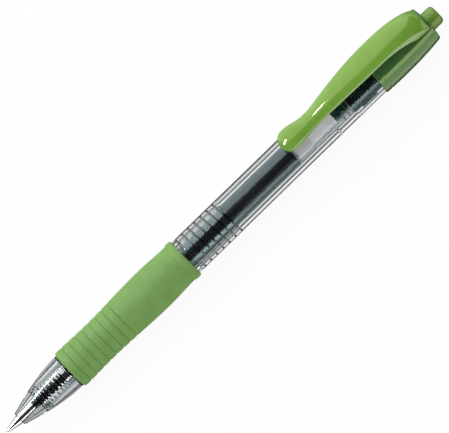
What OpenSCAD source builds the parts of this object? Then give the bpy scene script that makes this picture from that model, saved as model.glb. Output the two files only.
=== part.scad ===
// Retractable gel pen in millimetres, drawn in its writing position with the tip out.
// It lies along X with the tip of its ball at x = 0, its push button towards +X and its clip towards +Z.

/* [Barrel] */
// Outside diameter of the clear barrel
barrel_d = 9.8; // [9.6:0.1:10.6]
// Length of barrel that shows between the front section and the collar
barrel_len = 60.4; // [45:0.1:80]
// Wall of the barrel round the refill
barrel_wall = 1.2; // [1.05:0.05:1.5]
// Step from the barrel down to the spigot that the collar sits on
collar_step = 0.4; // [0.3:0.05:0.45]
// Wall of that spigot
spigot_wall = 0.6; // [0.5:0.05:0.7]
// Depth of the ring groove in the barrel's bore
ring_depth = 0.2; // [0.05:0.05:0.5]
// Width of that ring groove
ring_w = 0.6; // [0.2:0.1:1.5]
// Distance from the end of the refill back to that ring groove
ring_back = 5.9; // [3:0.1:10]

/* [Front section] */
// Length of metal tip that stands out of the nose
tip_out = 4.2; // [2.5:0.1:5]
// Length of the nose in front of the grip
nose_len = 16.4; // [14:0.1:22]
// Diameter of the nose where it meets the grip
nose_d = 9.4; // [8.8:0.1:10]
// Diameter of the nose's front face
nose_front_d = 3.5; // [3.2:0.1:4.5]
// Length of the narrow hole that guides the tip
tip_hole_len = 1.4; // [0.8:0.1:2]
// Distance from the nose's front face to the first step of the spring's seat
seat_inset = 6.3; // [5.5:0.1:7]
// Length of each step of the spring's seat
seat_step = 0.6; // [0.4:0.05:0.7]
// Depth of the seat that the grip is pulled over
grip_seat_depth = 0.5; // [0.3:0.05:0.6]
// Length of the flange behind the grip
flange_len = 1.0; // [0.5:0.1:2]
// Length of the threaded tenon behind that flange
tenon_len = 13; // [12.5:0.1:18]
// Wall of the tenon under its thread
tenon_wall = 0.6; // [0.5:0.05:0.7]
// Pitch of the thread
thread_pitch = 2; // [1.8:0.1:2.2]
// Number of turns of thread on the tenon
thread_turns = 5; // [2:1:5]
// Height of the thread
thread_h = 0.4; // [0.25:0.05:0.5]
// Width of the thread at its root
thread_root_w = 1.2; // [1:0.05:1.3]
// Width of the thread at its crest
thread_crest_w = 0.6; // [0.4:0.05:0.8]
// Plain length of tenon in front of the thread
thread_lead = 1.8; // [0.8:0.1:2]

/* [Grip] */
// Length of the rubber grip
grip_len = 38.4; // [32:0.1:50]
// Diameter of the grip at its front end
grip_front_d = 10.5; // [9.8:0.1:11.5]
// Diameter of the grip at its waist
grip_waist_d = 10.1; // [9.6:0.1:11]
// Diameter of the grip at its bulge
grip_bulge_d = 11.1; // [10.2:0.1:12.5]
// Diameter of the grip in front of its rear bead
grip_neck_d = 10.5; // [9.8:0.1:11.5]
// Diameter of the rear bead
grip_bead_d = 11; // [10.2:0.1:12]
// Distance from the grip's front end to its waist
grip_waist_at = 10; // [7:0.1:14]
// Distance from the grip's rear end forward to its bulge
grip_bulge_at = 10.5; // [8:0.1:13]
// Length of the rear bead
grip_bead_len = 2; // [1.2:0.1:3]
// Rounding of the grip's front edge
grip_edge = 0.7; // [0.3:0.05:1]
// Number of grooves round the grip
groove_count = 8; // [3:1:10]
// Distance from one groove to the next
groove_pitch = 2.15; // [1.5:0.05:2.5]
// Distance from the grip's front end to the first groove
groove_start = 2.1; // [1.5:0.1:4]
// Depth of the grooves
groove_depth = 0.25; // [0.1:0.05:0.4]
// Width of the grooves
groove_w = 0.7; // [0.3:0.05:1.2]
// Rise of the bands between the grooves
band_crown = 0.06; // [0:0.01:0.15]

/* [Collar] */
// Length of the collar
collar_len = 18.4; // [17:0.1:24]
// Largest diameter of the collar
collar_d = 10.8; // [10.6:0.1:12]
// Diameter of the collar at its lower edge
collar_low_d = 10.5; // [10.2:0.1:11.5]
// Diameter of the collar at its top rim
collar_rim_d = 9.5; // [9.2:0.1:10.5]
// Distance from the collar's lower edge to its largest diameter
collar_swell_at = 5.7; // [4:0.1:8]
// Length of the collar's solid top
cap_len = 4.6; // [4.2:0.1:5.5]
// Rounding of the top rim
rim_round = 0.5; // [0.2:0.05:0.8]
// Rise of the top face from its rim to the button's hole
rim_dome = 0.3; // [0.1:0.05:0.6]

/* [Clip] */
// Length of the clip
clip_len = 44.65; // [36:0.05:55]
// Distance from the collar's top to the clip's root end
clip_setback = 0.9; // [0.7:0.05:1.2]
// Width of the clip at its widest
clip_w = 6.8; // [6:0.1:8]
// Width of the clip at its waist
clip_waist_w = 4.3; // [3:0.1:5.5]
// Width of the clip's free end
clip_bulb_w = 5.5; // [4:0.1:7]
// Width of the clip at its root
clip_root_w = 5.9; // [5.6:0.1:6.2]
// Thickness of the clip's edge
clip_t = 1.3; // [0.9:0.05:1.8]
// Rise of the clip's crown over its edges
clip_crown = 0.6; // [0.2:0.05:0.9]
// Rounding of the clip's edges
clip_edge = 0.3; // [0.1:0.05:0.4]
// Room between the collar and the arch of the clip
arch_room = 2.7; // [1.5:0.1:3.6]
// Room between the barrel and the clip's waist
waist_room = 0.8; // [0.5:0.05:1.5]
// Distance from the root end to the top of the arch
arch_at = 13.6; // [12:0.1:16]
// Distance from the free end to the waist
waist_at = 9.2; // [7:0.1:12]
// Distance from the free end to the middle of its bulb
bulb_at = 2.8; // [2:0.1:4]
// Length of the clip's root on the collar
root_len = 3.4; // [2.8:0.1:4.5]
// Height of the root's end over the collar
root_rise = 0.1; // [0:0.05:0.6]
// Radius of the heel that the clip turns on
heel_r = 0.8; // [0.6:0.05:0.9]
// Distance from the root end to that heel
heel_at = 1.7; // [1.5:0.05:2]
// Wall between the heel's socket and the button's hole
heel_wall = 0.55; // [0.4:0.05:0.8]
// Half the length of the heel
heel_half = 2.6; // [2:0.1:2.7]
// Width of the neck between the heel and the clip
neck_w = 1; // [0.7:0.05:1.1]
// Angle that the clip opens to
clip_swing = 4; // [2:0.5:5]

/* [Push button and clutch] */
// Diameter of the push button
button_d = 5; // [4.6:0.1:5.2]
// Length of button that stands out of the collar
button_out = 3.2; // [2:0.1:5]
// Rounding of the button's edge
button_round = 1; // [0.3:0.1:1.4]
// Solid thickness of the button's end
button_end = 3; // [2:0.1:5]
// Wall of the button's hollow stem
button_wall = 0.65; // [0.5:0.05:0.8]
// Travel of the button from the writing position out to the resting one
knock_travel = 5.5; // [4:0.1:6]
// Travel of the button past the writing position when it is pressed
over_press = 1.5; // [1:0.1:2]
// Distance from the collar's lower edge to the teeth of the fixed sleeve
sleeve_inset = 4; // [3.5:0.1:4.5]
// Wall of the sleeve behind its slots
sleeve_wall = 0.4; // [0.3:0.05:0.5]
// Number of slots in the sleeve, and of ribs on the rotor and the button
slot_count = 4; // [3:1:5]
// Width of those ribs
rib_w = 1; // [0.6:0.05:1.2]
// Height of the clutch's teeth
tooth_h = 0.7; // [0.4:0.05:0.9]
// Length of the guide ribs on the button
guide_len = 1.6; // [1:0.1:2]
// Length of clutch between the refill's end and the collar
clutch_show = 9; // [8:0.1:12]
// Wall of the rotor's hollow foot
rotor_wall = 1.3; // [0.8:0.1:1.8]
// Length of the rotor's narrow foot
foot_len = 2.3; // [2:0.1:3]
// Length of the rotor's stem inside the button
stem_len = 5; // [3:0.1:8]

/* [Refill] */
// Outside diameter of the refill's tube
refill_d = 6.1; // [5.8:0.05:6.2]
// Wall of that tube
tube_wall = 0.6; // [0.4:0.05:0.8]
// Distance from the ball's tip to the front end of the tube
tube_start = 28.5; // [25:0.1:32]
// Length of tube behind the ink
ink_back = 17.3; // [12:0.1:40]
// Length of the clear grease behind the ink
follower_len = 5; // [2:0.1:6]
// Depth of the hollow in that grease's rear end
follower_dish = 0.6; // [0.2:0.1:1.2]
// Length of the plug in the tube's rear end
plug_len = 4.5; // [3:0.1:5.5]
// Depth of the grooves round that plug
plug_groove = 0.2; // [0.1:0.05:0.4]
// Diameter of the plug's air hole
vent_d = 0.8; // [0.4:0.1:1.2]
// Diameter of the tip's holder
holder_d = 3.4; // [3.2:0.05:3.8]
// Length of holder inside the tube
holder_tail = 4.5; // [3:0.1:7]
// Diameter of the holder's ink channel
channel_d = 2.3; // [1.6:0.05:2.4]
// Length of metal tip in front of the holder
tip_len = 9; // [8.6:0.1:9.6]
// Length of metal tip inside the holder
tang_len = 3.5; // [2:0.1:5]
// Step from the metal tip down to its tang
tang_step = 0.3; // [0.1:0.05:0.4]
// Wall of the tang
tang_wall = 0.3; // [0.2:0.05:0.4]
// Diameter of the metal tip
tip_d = 2.3; // [2:0.05:2.4]
// Length of the tip's cone
cone_len = 3.7; // [2.5:0.1:5]
// Diameter of the ball
ball_d = 0.7; // [0.5:0.05:1]

/* [Spring] */
// Diameter of the spring's wire
wire_d = 0.45; // [0.3:0.05:0.5]
// Diameter of the spring at the middle of its wire
spring_d = 5; // [4.6:0.1:5.2]
// Number of turns of the spring
spring_turns = 16; // [8:1:17]

/* [Clearances] */
// Radial clearance of the refill in the pen
refill_gap = 0.15; // [0.1:0.05:0.25]
// Clearance of the moving pieces of the clutch
clutch_gap = 0.1; // [0.08:0.01:0.15]
// Clearance on each side of a rib in its slot
slot_gap = 0.15; // [0.1:0.01:0.25]
// Clearance between the teeth of the button and of the rotor
tooth_gap = 0.15; // [0.1:0.01:0.25]
// Radial clearance of the tip in its hole
tip_gap = 0.15; // [0.1:0.05:0.2]
// Clearance between pieces that are pressed together
press_gap = 0.02; // [0.01:0.01:0.05]
// Clearance between the end faces of pieces that meet
face_gap = 0.05; // [0.02:0.01:0.1]
// Clearance of the thread
thread_gap = 0.1; // [0.08:0.01:0.15]
// Clearance of the ball in its socket
ball_gap = 0.02; // [0.01:0.01:0.04]
// Gap between the clip's free end and the barrel
clip_rest_gap = 0.15; // [0.1:0.01:0.4]
// Clearance of the clip round its heel
clip_gap = 0.08; // [0.06:0.01:0.12]
// Room left where a moving piece passes a fixed one
running_room = 0.3; // [0.2:0.05:0.4]

/* [Hidden] */

// Facets of a full round
$fn = 72;
// Overlap of a cut past the face that it opens
cut = 0.5;

// Radii, from the pieces that they belong to
barrel_r = barrel_d / 2;
barrel_bore_r = barrel_r - barrel_wall;
refill_r = refill_d / 2;
tube_in_r = refill_r - tube_wall;
bore_r = refill_r + refill_gap;
nose_r = nose_d / 2;
nose_front_r = nose_front_d / 2;
tip_r = tip_d / 2;
tip_hole_r = tip_r + tip_gap;
holder_r = holder_d / 2;
channel_r = channel_d / 2;
grip_seat_r = nose_r - grip_seat_depth;
tenon_r = bore_r + tenon_wall;
spigot_r = barrel_r - collar_step;
chamber_r = spigot_r - spigot_wall;
sleeve_r = chamber_r - press_gap;
slot_r = sleeve_r - sleeve_wall;
button_r = button_d / 2;
button_bore_r = button_r - button_wall;
button_hole_r = button_r + clutch_gap;
rib_r = slot_r - clutch_gap;
foot_r = refill_r - face_gap;
skirt_r = chamber_r - running_room;
stem_r = button_bore_r - clutch_gap;
ball_r = ball_d / 2;
spring_r = spring_d / 2;
wire_r = wire_d / 2;

// Places along the pen
nose_x = tip_out;
grip_x = nose_x + nose_len;
flange_x = grip_x + grip_len;
barrel_x = flange_x + flange_len;
tenon_end_x = barrel_x + tenon_len;
collar_x = barrel_x + barrel_len;
top_x = collar_x + collar_len;
button_x = top_x + button_out;
cap_x = top_x - cap_len;
tail_x = collar_x - clutch_show;
ring_x = tail_x - ring_back;
thread_x = barrel_x + thread_lead;

// Stepped seat of the spring in the nose
seat_x = nose_x + seat_inset;
seat_r = holder_r + clutch_gap + running_room;
spring_room_r = spring_r + wire_r + clutch_gap;
seat_radii = [seat_r, spring_r - wire_r / 2, spring_room_r, (spring_room_r + bore_r) / 2, bore_r];
seat_steps = len(seat_radii) - 1;
spring_seat_x = seat_x + seat_step;

// Places of the clutch
foot_x = tail_x + clutch_gap;
skirt_x = foot_x + foot_len;
chamber_x = skirt_x - over_press - running_room;
sleeve_x = collar_x + sleeve_inset;
rib_top_x = sleeve_x - running_room;
rib_x = sleeve_x - knock_travel - running_room;
button_low_x = rib_top_x + tooth_gap;
guide_x = button_low_x + tooth_h;
slot_end_x = guide_x + guide_len + knock_travel + clutch_gap;
slot_w = rib_w + 2 * slot_gap;
tooth_count = 2 * slot_count;
// Width of a notch between teeth round a bore, with a narrow land on each side
function notch_width(bore) = 2 * bore * sin(180 / tooth_count) - running_room;

// Places of the clip
root_x = top_x - clip_setback;
clip_x = root_x - clip_len;
arch_x = root_x - arch_at;
waist_x = clip_x + waist_at;
bulb_x = clip_x + bulb_at;
heel_x = root_x - heel_at;
heel_z = button_hole_r + heel_wall + clip_gap + heel_r;
arch_z = collar_d / 2 + arch_room;
waist_z = barrel_r + waist_room;
bulb_z = barrel_r + clip_rest_gap;

// A curve from 0 to 1 that starts and ends level
function ease(u) = (1 - cos(180 * u)) / 2;
// A blend from a to b along that curve
function blend(a, b, u) = a + (b - a) * ease(max(0, min(1, u)));
// The share of the way that x lies from a to b
function share(x, a, b) = (x - a) / (b - a);
// The height of a round corner of power p at share u of its length
function round_off(u, p) = pow(max(0, 1 - pow(min(1, max(0, u)), p)), 1 / p);
// A point at radius r and angle a about the pen's axis
function about_axis(x, r, a) = [x, r * cos(a), r * sin(a)];

// A solid of revolution about the pen's axis from [radius, x] points
module turned(points) {
    rotate([0, 90, 0])
        rotate_extrude()
            polygon(points);
}

// Copies round the pen's axis
module around(count, first = 0) {
    for (i = [0 : count - 1])
        rotate([first + 360 * i / count, 0, 0])
            children();
}

// A prism that stands out from the axis over [x, y] points, from radius low to radius high
module standing(points, low, high) {
    translate([0, 0, low])
        linear_extrude(high - low)
            polygon(points);
}

// A solid through rings of an even number of points, which run clockwise seen from its start
module swept(rings) {
    n = len(rings[0]);
    last = (len(rings) - 1) * n;
    sides = [
        for (i = [0 : len(rings) - 2], j = [0 : n - 1])
            let (a = i * n + j, b = i * n + (j + 1) % n)
                each [[a, b + n, b], [a, a + n, b + n]]
    ];
    cap = [
        for (j = [0 : n / 2 - 2])
            each [[j + 1, j + 2, n - 1 - j], [j + 1, n - 1 - j, (n - j) % n]]
    ];
    far_cap = [for (face = cap) [last + face[2], last + face[1], last + face[0]]];
    polyhedron([for (ring = rings) each ring], concat(cap, sides, far_cap));
}

// A ridge that winds about the pen's axis, from one angle to another, grown by a clearance on every side
thread_facets = 24;
module thread_ridge(from_angle, to_angle, grow) {
    count = ceil((to_angle - from_angle) * thread_facets / 360);
    low = tenon_r - thread_h / 2;
    high = tenon_r + thread_h + grow;
    root = thread_root_w / 2 + grow + (thread_root_w - thread_crest_w) / 4;
    crest = thread_crest_w / 2 + grow;
    section = [[root, low], [crest, high], [-crest, high], [-root, low]];
    swept([
        for (i = [0 : count])
            let (a = from_angle + (to_angle - from_angle) * i / count, x = thread_x + thread_pitch * a / 360)
                [for (p = section) about_axis(x + p[0], p[1], a)]
    ]);
}

// Outlines of the front section
nose_curve_steps = 14;
nose_curve = [
    for (i = [1 : nose_curve_steps])
        let (u = i / nose_curve_steps)
            [nose_front_r + (nose_r - nose_front_r) * sin(90 * u), nose_x + nose_len * u]
];
nose_edge = 0.2;
tenon_edge = 0.3;
seat_curve = [
    for (i = [0 : seat_steps - 1])
        each [[seat_radii[i], seat_x + i * seat_step], [seat_radii[i + 1], seat_x + i * seat_step]]
];

module nose_cone() {
    color([0.85, 0.9, 0.92, 0.4])
        union() {
            turned(concat(
                [[tip_hole_r, nose_x], [nose_front_r - nose_edge, nose_x], [nose_front_r, nose_x + nose_edge]],
                nose_curve,
                [
                    [grip_seat_r, grip_x], [grip_seat_r, flange_x], [barrel_r, flange_x], [barrel_r, barrel_x],
                    [tenon_r, barrel_x], [tenon_r, tenon_end_x - tenon_edge],
                    [tenon_r - tenon_edge, tenon_end_x], [bore_r, tenon_end_x],
                    [bore_r, seat_x + seat_steps * seat_step]
                ],
                [for (i = [len(seat_curve) - 1 : -1 : 0]) seat_curve[i]],
                [[tip_hole_r + tip_gap, nose_x + tip_hole_len], [tip_hole_r, nose_x + tip_hole_len]]
            ));
            thread_ridge(0, 360 * thread_turns, 0);
        }
}

// Radius of the grip without its grooves
grip_neck_x = flange_x - grip_bead_len;
grip_bulge_x = flange_x - grip_bulge_at;
grip_waist_x = grip_x + grip_waist_at;
function grip_radius(x) =
    (x < grip_waist_x ? blend(grip_front_d, grip_waist_d, share(x, grip_x, grip_waist_x)) :
     x < grip_bulge_x ? blend(grip_waist_d, grip_bulge_d, share(x, grip_waist_x, grip_bulge_x)) :
     blend(grip_bulge_d, grip_neck_d, share(x, grip_bulge_x, grip_neck_x))) / 2;
groove_x = grip_x + groove_start;
groove_end_x = groove_x + (groove_count - 0.5) * groove_pitch;
grip_steps = 14;
edge_steps = 5;

module grip_sleeve() {
    front = grip_x + face_gap;
    rear = flange_x - face_gap;
    bead_r = grip_bead_d / 2;
    bead_half = (rear - grip_neck_x) / 2;
    front_edge = [
        for (i = [0 : edge_steps])
            let (a = 90 * i / edge_steps, x = front + grip_edge * (1 - cos(a)))
                [grip_radius(x) - grip_edge * (1 - sin(a)), x]
    ];
    bands = [
        for (i = [0 : groove_count - 1])
            let (x = groove_x + i * groove_pitch, r = grip_radius(x), crown_x = x - groove_pitch / 2)
                each [
                    [grip_radius(crown_x) + band_crown, crown_x],
                    [r, x - groove_w / 2], [r - groove_depth, x], [r, x + groove_w / 2]
                ]
    ];
    swell = [
        for (i = [0 : grip_steps])
            let (x = groove_end_x + (grip_neck_x - groove_end_x) * i / grip_steps)
                [grip_radius(x), x]
    ];
    bead = [
        for (i = [1 : 2 * edge_steps - 1])
            let (a = 90 * i / edge_steps)
                [grip_neck_d / 2 + (bead_r - grip_neck_d / 2) * sin(a), grip_neck_x + bead_half * (1 - cos(a))]
    ];
    inner = grip_seat_r + press_gap;
    color([0.5, 0.7, 0.3])
        turned(concat(
            [[inner, front]], front_edge, bands, swell, bead, [[barrel_r, rear], [inner, rear]]
        ));
}

module barrel() {
    front = barrel_x + face_gap;
    thread_bore_r = tenon_r + thread_gap;
    spigot_end_x = cap_x - face_gap;
    mouth_angle = 360 * (thread_lead + thread_pitch) / thread_pitch;
    end_angle = 360 * thread_turns + 360 * 2 * thread_gap / (2 * PI * tenon_r);
    color([0.85, 0.9, 0.92, 0.4])
        difference() {
            turned([
                [thread_bore_r, front], [barrel_r, front], [barrel_r, collar_x - face_gap],
                [spigot_r, collar_x - face_gap], [spigot_r, spigot_end_x], [chamber_r, spigot_end_x],
                [chamber_r, chamber_x], [barrel_bore_r, chamber_x], [barrel_bore_r, ring_x + ring_w],
                [barrel_bore_r + ring_depth, ring_x + ring_w], [barrel_bore_r + ring_depth, ring_x],
                [barrel_bore_r, ring_x], [barrel_bore_r, tenon_end_x + running_room],
                [thread_bore_r, tenon_end_x + running_room]
            ]);
            thread_ridge(-mouth_angle, end_angle, thread_gap);
        }
}

// Radius of the collar's outside
swell_x = collar_x + collar_swell_at;
swell_power = 2.5;
function collar_radius(x) =
    (x < swell_x ? collar_d - (collar_d - collar_low_d) * pow(share(x, swell_x, collar_x), swell_power) :
     collar_d - (collar_d - collar_rim_d) * pow(share(x, swell_x, top_x - rim_round), swell_power)) / 2;
collar_steps = 16;
collar_edge = 0.15;
neck_top_z = collar_radius(heel_x) + clip_t / 2;

module clip_collar() {
    rim_x = top_x - rim_round - rim_dome;
    side = [
        for (i = [0 : collar_steps])
            let (x = collar_x + collar_edge + (rim_x - collar_x - collar_edge) * i / collar_steps)
                [collar_radius(x), x]
    ];
    rim = [
        for (i = [1 : edge_steps])
            let (a = 90 * i / edge_steps)
                [collar_radius(rim_x) - rim_round * (1 - cos(a)), rim_x + rim_round * sin(a)]
    ];
    bore = spigot_r + press_gap;
    mouth = neck_w + 2 * (clip_gap + (collar_radius(heel_x) - heel_z) * sin(clip_swing));
    pocket_half = heel_half + clip_gap;
    color([0.4, 0.55, 0.28])
        difference() {
            turned(concat(
                [[bore, collar_x], [collar_low_d / 2 - collar_edge, collar_x]], side, rim,
                [[button_hole_r, top_x], [button_hole_r, cap_x], [bore, cap_x]]
            ));
            translate([heel_x, 0, heel_z])
                rotate([90, 0, 0])
                    cylinder(r = heel_r + clip_gap, h = 2 * pocket_half, center = true);
            translate([heel_x - mouth / 2, -pocket_half, heel_z])
                cube([mouth, 2 * pocket_half, neck_top_z]);
        }
}

// Outline of the clip, seen from above and from the side
slope_power = 0.75;
arch_power = 2.2;
under_power = 1.65;
arch_overrun = 0.6;
arch_reach = arch_at + arch_overrun;
under_reach = arch_at - root_len;
arch_top_z = arch_z + clip_t;
root_top_z = collar_radius(root_x) + root_rise;
arch_fall = (arch_top_z - root_top_z) / (1 - round_off(arch_at / arch_reach, arch_power));
under_fall = arch_z - button_hole_r;
function rise(x) = pow(max(0, share(x, waist_x, arch_x)), slope_power);
function clip_width(x) =
    x < bulb_x ? clip_bulb_w * round_off(share(x, bulb_x, clip_x), 2) :
    x < waist_x ? blend(clip_bulb_w, clip_waist_w, share(x, bulb_x, waist_x)) :
    x < arch_x ? blend(clip_waist_w, clip_w, rise(x)) :
    blend(clip_w, clip_root_w, share(x, arch_x, root_x));
function clip_under(x) =
    x < waist_x ? blend(bulb_z, waist_z, share(x, bulb_x, waist_x)) :
    x < arch_x ? blend(waist_z, arch_z, rise(x)) :
    arch_z - under_fall * (1 - round_off((x - arch_x) / under_reach, under_power));
bulb_top_z = waist_z + clip_t + waist_room;
function clip_over(x) =
    x < waist_x ? blend(bulb_top_z, waist_z + clip_t, share(x, bulb_x, waist_x)) :
    x < arch_x ? blend(waist_z, arch_z, rise(x)) + clip_t :
    arch_top_z - arch_fall * (1 - round_off((x - arch_x) / arch_reach, arch_power));
function clip_hump(x) = clip_crown * (x < arch_x ? 1 : 1 + pow(share(x, arch_x, root_x), 2));
swing_margin = 1;
// Height of the collar under the clip at [x, y], with room for the clip to turn on its heel
function clip_floor(x, y) =
    let (r = collar_radius(x) + clip_gap + max(0, x - heel_x) * sin(clip_swing + swing_margin))
        x < collar_x ? 0 : sqrt(max(0, r * r - y * y));

// A ring of the clip at x, with its height and width drawn in to a share at the ends
clip_columns = 6;
function clip_ring(x, tall = 1) =
    let (half = clip_width(x) / 2, edge = min(clip_edge, half / 3), flat = half - edge)
    let (over = clip_over(x), under = clip_under(x), middle = (over + under) / 2)
    let (high = middle + (over - middle) * tall, low = middle + (under - middle) * tall)
    let (side_low = max(low, clip_floor(x, half)) + edge)
    concat(
        [[x, half, side_low], [x, half, high - edge]],
        [
            for (i = [0 : clip_columns])
                let (a = 1 - 2 * i / clip_columns)
                    [x, a * flat, high + clip_hump(x) * tall * (1 - a * a)]
        ],
        [[x, -half, high - edge], [x, -half, side_low]],
        [
            for (i = [0 : clip_columns])
                let (a = 2 * i / clip_columns - 1)
                    [x, a * flat, max(low, clip_floor(x, a * flat))]
        ]
    );
bulb_first_angle = 10;
bulb_rings = 7;
bulb_power = 0.9;
arm_rings = 16;
root_rings = 14;

module pocket_clip() {
    bulb = [
        for (i = [0 : bulb_rings - 1])
            let (a = bulb_first_angle + (90 - bulb_first_angle) * i / bulb_rings)
                clip_ring(bulb_x - bulb_at * cos(a), pow(sin(a), bulb_power))
    ];
    arm = [for (i = [0 : arm_rings - 1]) clip_ring(bulb_x + (arch_x - bulb_x) * i / arm_rings)];
    root = [for (i = [0 : root_rings]) clip_ring(arch_x + (root_x - arch_x) * sin(90 * i / root_rings))];
    color([0.5, 0.7, 0.22])
        union() {
            swept(concat(bulb, arm, root));
            translate([heel_x, 0, heel_z])
                rotate([90, 0, 0])
                    cylinder(r = heel_r, h = 2 * heel_half, center = true);
            translate([heel_x - neck_w / 2, -heel_half, heel_z])
                cube([neck_w, 2 * heel_half, neck_top_z - heel_z]);
        }
}

module cam_sleeve() {
    tooth_w = notch_width(button_hole_r);
    run_out = cut * tooth_w / tooth_h;
    color([0.2, 0.35, 0.22])
        difference() {
            turned([
                [button_hole_r, sleeve_x], [sleeve_r, sleeve_x],
                [sleeve_r, cap_x - face_gap], [button_hole_r, cap_x - face_gap]
            ]);
            around(slot_count)
                translate([sleeve_x - cut, -slot_w / 2, 0])
                    cube([slot_end_x - sleeve_x + cut, slot_w, slot_r]);
            around(tooth_count, 180 / tooth_count)
                standing([
                    [sleeve_x - cut, -tooth_w / 2 - run_out],
                    [sleeve_x + tooth_h, tooth_w / 2], [sleeve_x - cut, tooth_w / 2]
                ], 0, slot_r);
        }
}

// Notches between the teeth of the button and of the rotor, from the face at x towards x + depth
module tooth_notches(x, depth) {
    outside = x - cut * sign(depth);
    half = notch_width(button_bore_r) / 2 * (1 + cut / tooth_h);
    around(tooth_count, 180 / tooth_count)
        standing([[outside, -half], [x + depth, 0], [outside, half]], 0, button_r + cut);
}

module push_button() {
    hollow_x = button_x - button_end;
    crown = [
        for (i = [0 : edge_steps])
            let (a = 90 * i / edge_steps)
                [button_r - button_round * (1 - cos(a)), button_x - button_round * (1 - sin(a))]
    ];
    color([0.5, 0.7, 0.25])
        union() {
            difference() {
                turned(concat(
                    [[button_bore_r, button_low_x], [button_r, button_low_x]], crown,
                    [[0, button_x], [0, hollow_x], [button_bore_r, hollow_x]]
                ));
                tooth_notches(button_low_x, tooth_h);
            }
            around(slot_count)
                standing([
                    [guide_x, -rib_w / 2], [guide_x + guide_len, -rib_w / 2],
                    [guide_x + guide_len, rib_w / 2], [guide_x, rib_w / 2]
                ], (button_r + button_bore_r) / 2, rib_r);
        }
}

module rotor_cam() {
    hollow_r = foot_r - rotor_wall;
    body_r = button_r;
    color([0.08, 0.2, 0.12])
        union() {
            difference() {
                turned([
                    [hollow_r, foot_x], [foot_r, foot_x], [foot_r, skirt_x], [skirt_r, skirt_x], [skirt_r, rib_x],
                    [body_r, rib_x], [body_r, rib_top_x], [stem_r, rib_top_x], [stem_r, rib_top_x + stem_len],
                    [0, rib_top_x + stem_len], [0, rib_x], [hollow_r, rib_x - hollow_r]
                ]);
                difference() {
                    tooth_notches(rib_top_x, -tooth_h);
                    turned([
                        [0, rib_x], [stem_r, rib_x], [stem_r, rib_top_x + stem_len], [0, rib_top_x + stem_len]
                    ]);
                }
            }
            around(slot_count)
                standing([
                    [rib_x - cut, -rib_w / 2], [rib_top_x - tooth_h, -rib_w / 2],
                    [rib_top_x, rib_w / 2], [rib_x - cut, rib_w / 2]
                ], (body_r + stem_r) / 2, rib_r);
        }
}

// Centre line of the spring, with a straight end one wire long at each end
spring_from_x = spring_seat_x + face_gap + wire_r;
holder_flange_len = 1;
holder_flange_x = tube_start - holder_flange_len;
spring_to_x = holder_flange_x - face_gap - wire_r;
turn_rings = 8;
wire_sides = 6;
spring_coil = [
    for (i = [0 : spring_turns * turn_rings])
        about_axis(
            spring_from_x + (spring_to_x - spring_from_x) * i / (spring_turns * turn_rings),
            spring_r, 360 * i / turn_rings
        )
];
function unit(v) = v / norm(v);
spring_last = len(spring_coil) - 1;
spring_line = concat(
    [spring_coil[0] - wire_d * [0, 0, 1]], spring_coil, [spring_coil[spring_last] + wire_d * [0, 0, 1]]
);
// Least distance between the surfaces of neighbouring turns
spring_gap = min([
    for (i = [0 : spring_last - turn_rings / 2], j = [i + turn_rings / 2 : min(spring_last, i + 2 * turn_rings)])
        norm(spring_coil[j] - spring_coil[i])
]) - wire_d;
echo(str("Least gap of the return spring to itself: ", spring_gap, " mm"));

module return_spring() {
    last = len(spring_line) - 1;
    color([0.75, 0.76, 0.78])
        swept([
            for (i = [0 : last])
                let (along = unit(spring_line[min(last, i + 1)] - spring_line[max(0, i - 1)]))
                let (out = unit(cross(along, [1, 0, 0])), over = cross(along, out))
                    [
                        for (k = [0 : wire_sides - 1])
                            let (a = 360 * k / wire_sides)
                                spring_line[i] + wire_r * (cos(a) * out + sin(a) * over)
                    ]
        ]);
}

// Lengths of the refill's pieces
holder_x = tip_len;
holder_end_x = tube_start + holder_tail;
tang_x = tip_len + tang_len;
ink_x = tail_x - ink_back;
plug_x = tail_x - plug_len;
ink_r = tube_in_r - press_gap;
tang_r = tip_r - tang_step;

module refill_tube() {
    color([0.9, 0.92, 0.92, 0.5])
        turned([[tube_in_r, tube_start], [refill_r, tube_start], [refill_r, tail_x], [tube_in_r, tail_x]]);
}

module ink_column() {
    thread_r = channel_r - press_gap;
    color([0.03, 0.03, 0.04])
        turned([
            [0, tang_x + face_gap], [thread_r, tang_x + face_gap], [thread_r, holder_end_x + face_gap],
            [ink_r, holder_end_x + face_gap], [ink_r, ink_x], [0, ink_x]
        ]);
}

module ink_follower() {
    color([0.85, 0.86, 0.8, 0.6])
        turned([
            [0, ink_x + face_gap], [ink_r, ink_x + face_gap], [ink_r, ink_x + follower_len],
            [0, ink_x + follower_len - follower_dish]
        ]);
}

plug_rings = 2;
module tail_plug() {
    ring_r = ink_r;
    body_r = ink_r - plug_groove;
    vent_r = vent_d / 2;
    pitch = plug_len / (2 * plug_rings + 1);
    bands = [
        for (i = [0 : 2 * plug_rings])
            let (r = i % 2 == 0 ? ring_r : body_r)
                each [[r, plug_x + i * pitch], [r, plug_x + (i + 1) * pitch]]
    ];
    color([0.1, 0.28, 0.16])
        turned(concat([[vent_r, plug_x]], bands, [[vent_r, tail_x]]));
}

module tip_holder() {
    flange_r = refill_r - face_gap;
    spigot = tube_in_r - press_gap;
    front_edge = 0.3;
    color([0.1, 0.1, 0.12, 0.9])
        turned([
            [tang_r + press_gap, holder_x], [holder_r - front_edge, holder_x],
            [holder_r, holder_x + front_edge], [holder_r, holder_flange_x], [flange_r, holder_flange_x],
            [flange_r, tube_start - press_gap], [spigot, tube_start - press_gap], [spigot, holder_end_x],
            [channel_r, holder_end_x], [channel_r, tang_x + press_gap],
            [tang_r + press_gap, tang_x + press_gap]
        ]);
}

// The ball's centre and the metal lip round it
ball_x = ball_r;
lip_x = ball_r * 0.64;
lip_r = ball_r * 1.15;
ink_hole_r = ball_r * 0.4;

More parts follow.
